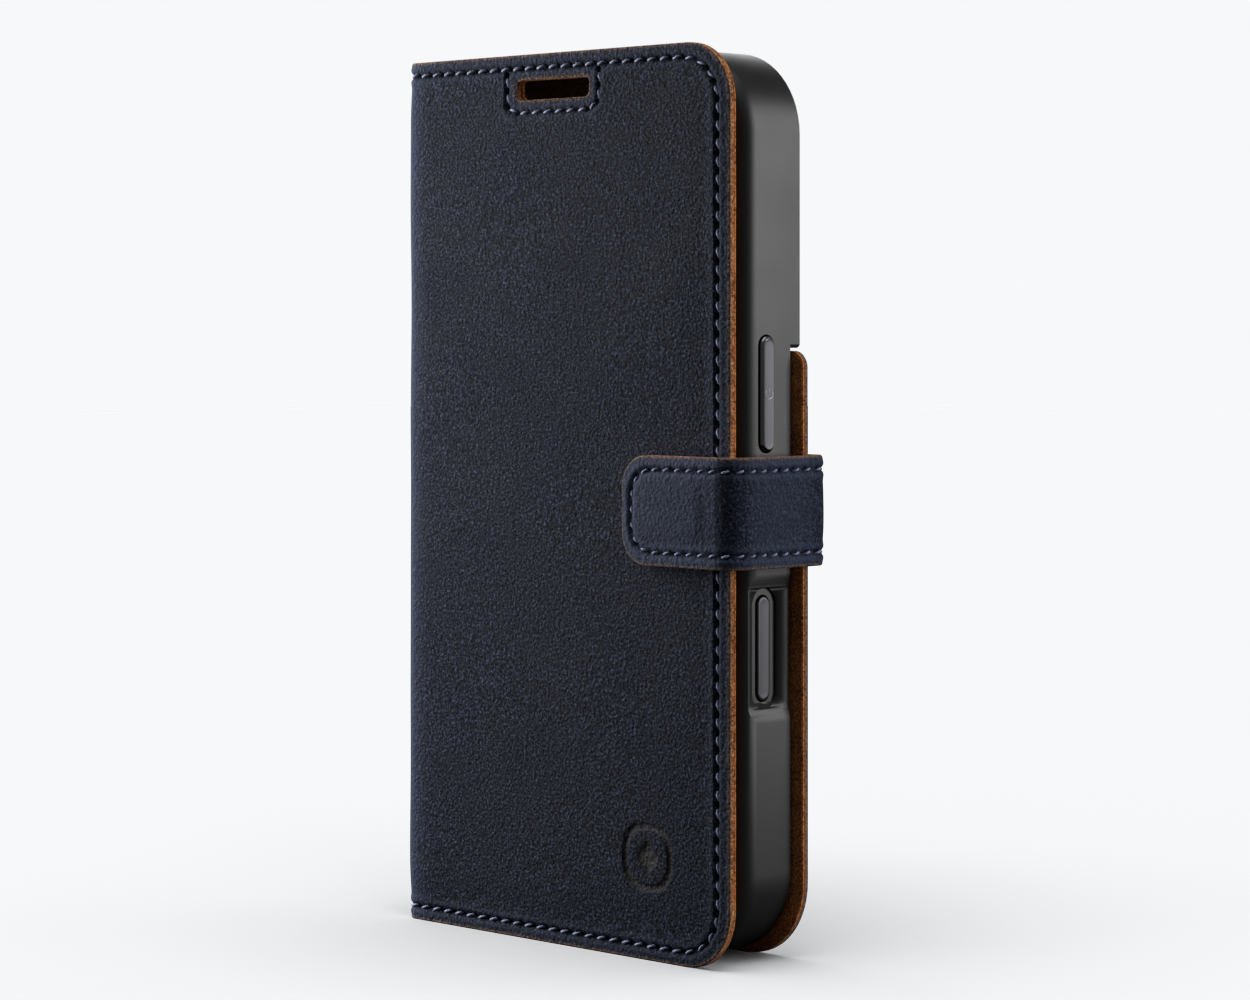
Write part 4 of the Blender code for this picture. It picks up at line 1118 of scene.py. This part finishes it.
def buildKey(node, name, side, profile, rimRows):
    # rounded bar: the outline is a segment's parallel curve, and each ring of the key is
    # that curve drawn in by the profile's inset at the profile's depth
    low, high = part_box(node)
    halfWide, halfLong = (high.y - low.y) / 2, (high.z - low.z) / 2
    centreY, centreZ = (high.y + low.y) / 2, (high.z + low.z) / 2
    faceX = high.x if side > 0 else low.x
    table = np.array(profile) * mm
    inset = np.minimum(np.append(table[:, 0], halfWide), halfWide)
    depth = np.minimum(np.append(table[:, 1], table[-1, 1]), high.x - low.x)
    half = 33     # points round each end
    angle = np.concatenate([np.linspace(0, math.pi, half), np.linspace(math.pi, 2 * math.pi, half)])
    end = np.repeat([1, -1], half) * (halfLong - halfWide)
    reach = (halfWide - inset)[:, None]
    y = centreY + reach * np.cos(angle)[None]
    z = centreZ + reach * np.sin(angle)[None] + end[None]
    x = np.repeat((faceX - side * depth)[:, None], len(angle), 1)
    rows, columns = x.shape
    slots = np.where(np.arange(rows - 1)[:, None] < rimRows, 1, 0) * np.ones((1, columns), int)
    piece = meshObject(name, np.stack([x, y, z], -1), ringQuads(rows, columns), slots.ravel(), sharpAngle=28)
    cleanMesh(piece, weld=1e-7)
    dress(piece, "keyFace", "keyRim")
    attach(piece, node)
    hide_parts(node)
    return Vector((faceX, centreY, centreZ))


def buildPowerSign(at):
    # plain standby sign: a ring open at the top with an upright bar in the gap, as a thin
    # round bead lying half in the key's face
    bead, radius, sides, deep = 0.07 * mm, 0.85 * mm, 6, 0.05 * mm
    turn = np.radians(np.linspace(125, 415, 40))
    ring = np.stack([0 * turn, radius * np.cos(turn), radius * np.sin(turn)], -1)
    barZ = np.linspace(0.25, 1.15, 6) * mm
    bar = np.stack([0 * barZ, 0 * barZ, barZ], -1)
    theta = np.linspace(0, 2 * math.pi, sides, endpoint=False)
    outward = np.array([1.0, 0, 0])
    parts, quads, count = [], [], 0
    for line in (ring, bar):
        tangent = np.gradient(line, axis=0)
        tangent /= np.linalg.norm(tangent, axis=1)[:, None]
        across = np.cross(tangent, outward)
        points = (line[:, None] + bead * (np.cos(theta)[None, :, None] * across[:, None]
                  + np.sin(theta)[None, :, None] * outward * 0.7))
        quads.append(count + ringQuads(len(line), sides))
        parts.append(points.reshape(-1, 3))
        count += len(line) * sides
    place = np.array(at) - np.array([deep, 0, 0])
    piece = meshObject("powerSign", np.concatenate(parts) + place, np.concatenate(quads), sharpAngle=80)
    cleanMesh(piece)
    dress(piece, "keyRim")
    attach(piece, "side_button")


def dressHiddenParts():
    # boards, plates and tape inside the laminate keep their CAD shapes
    for node, key in (("front_board", "board"), ("back_board", "board"), ("front_keeper", "steel"),
                      ("strap_magnet", "steel"), ("adhesive_pad", "adhesive")):
        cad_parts[node].data.materials.clear()
        dress(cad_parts[node], key)


buildCover()
print("front cover done")
buildBack()
print("back panel done")
buildPocket("note_pocket", "notePocket", pocketLook["noteCorner"], False)
for number in (1, 2, 3):
    buildPocket("card_pocket_%d" % number, "cardPocket%d" % number, pocketLook["cardCorner"], True)
print("pockets done")
buildStrap()
print("strap done")
buildShell()
buildLiner()
buildPowerSign(buildKey("side_button", "sideKey", 1, keyLook["proud"], 4))
buildKey("camera_button", "cameraKey", 1, keyLook["flush"], 0)
for node, name in (("action_button", "actionKey"), ("volume_up_button", "volumeUpKey"),
                   ("volume_down_button", "volumeDownKey")):
    buildKey(node, name, -1, keyLook["proud"], 4)
dressHiddenParts()
print("shell and keys done")
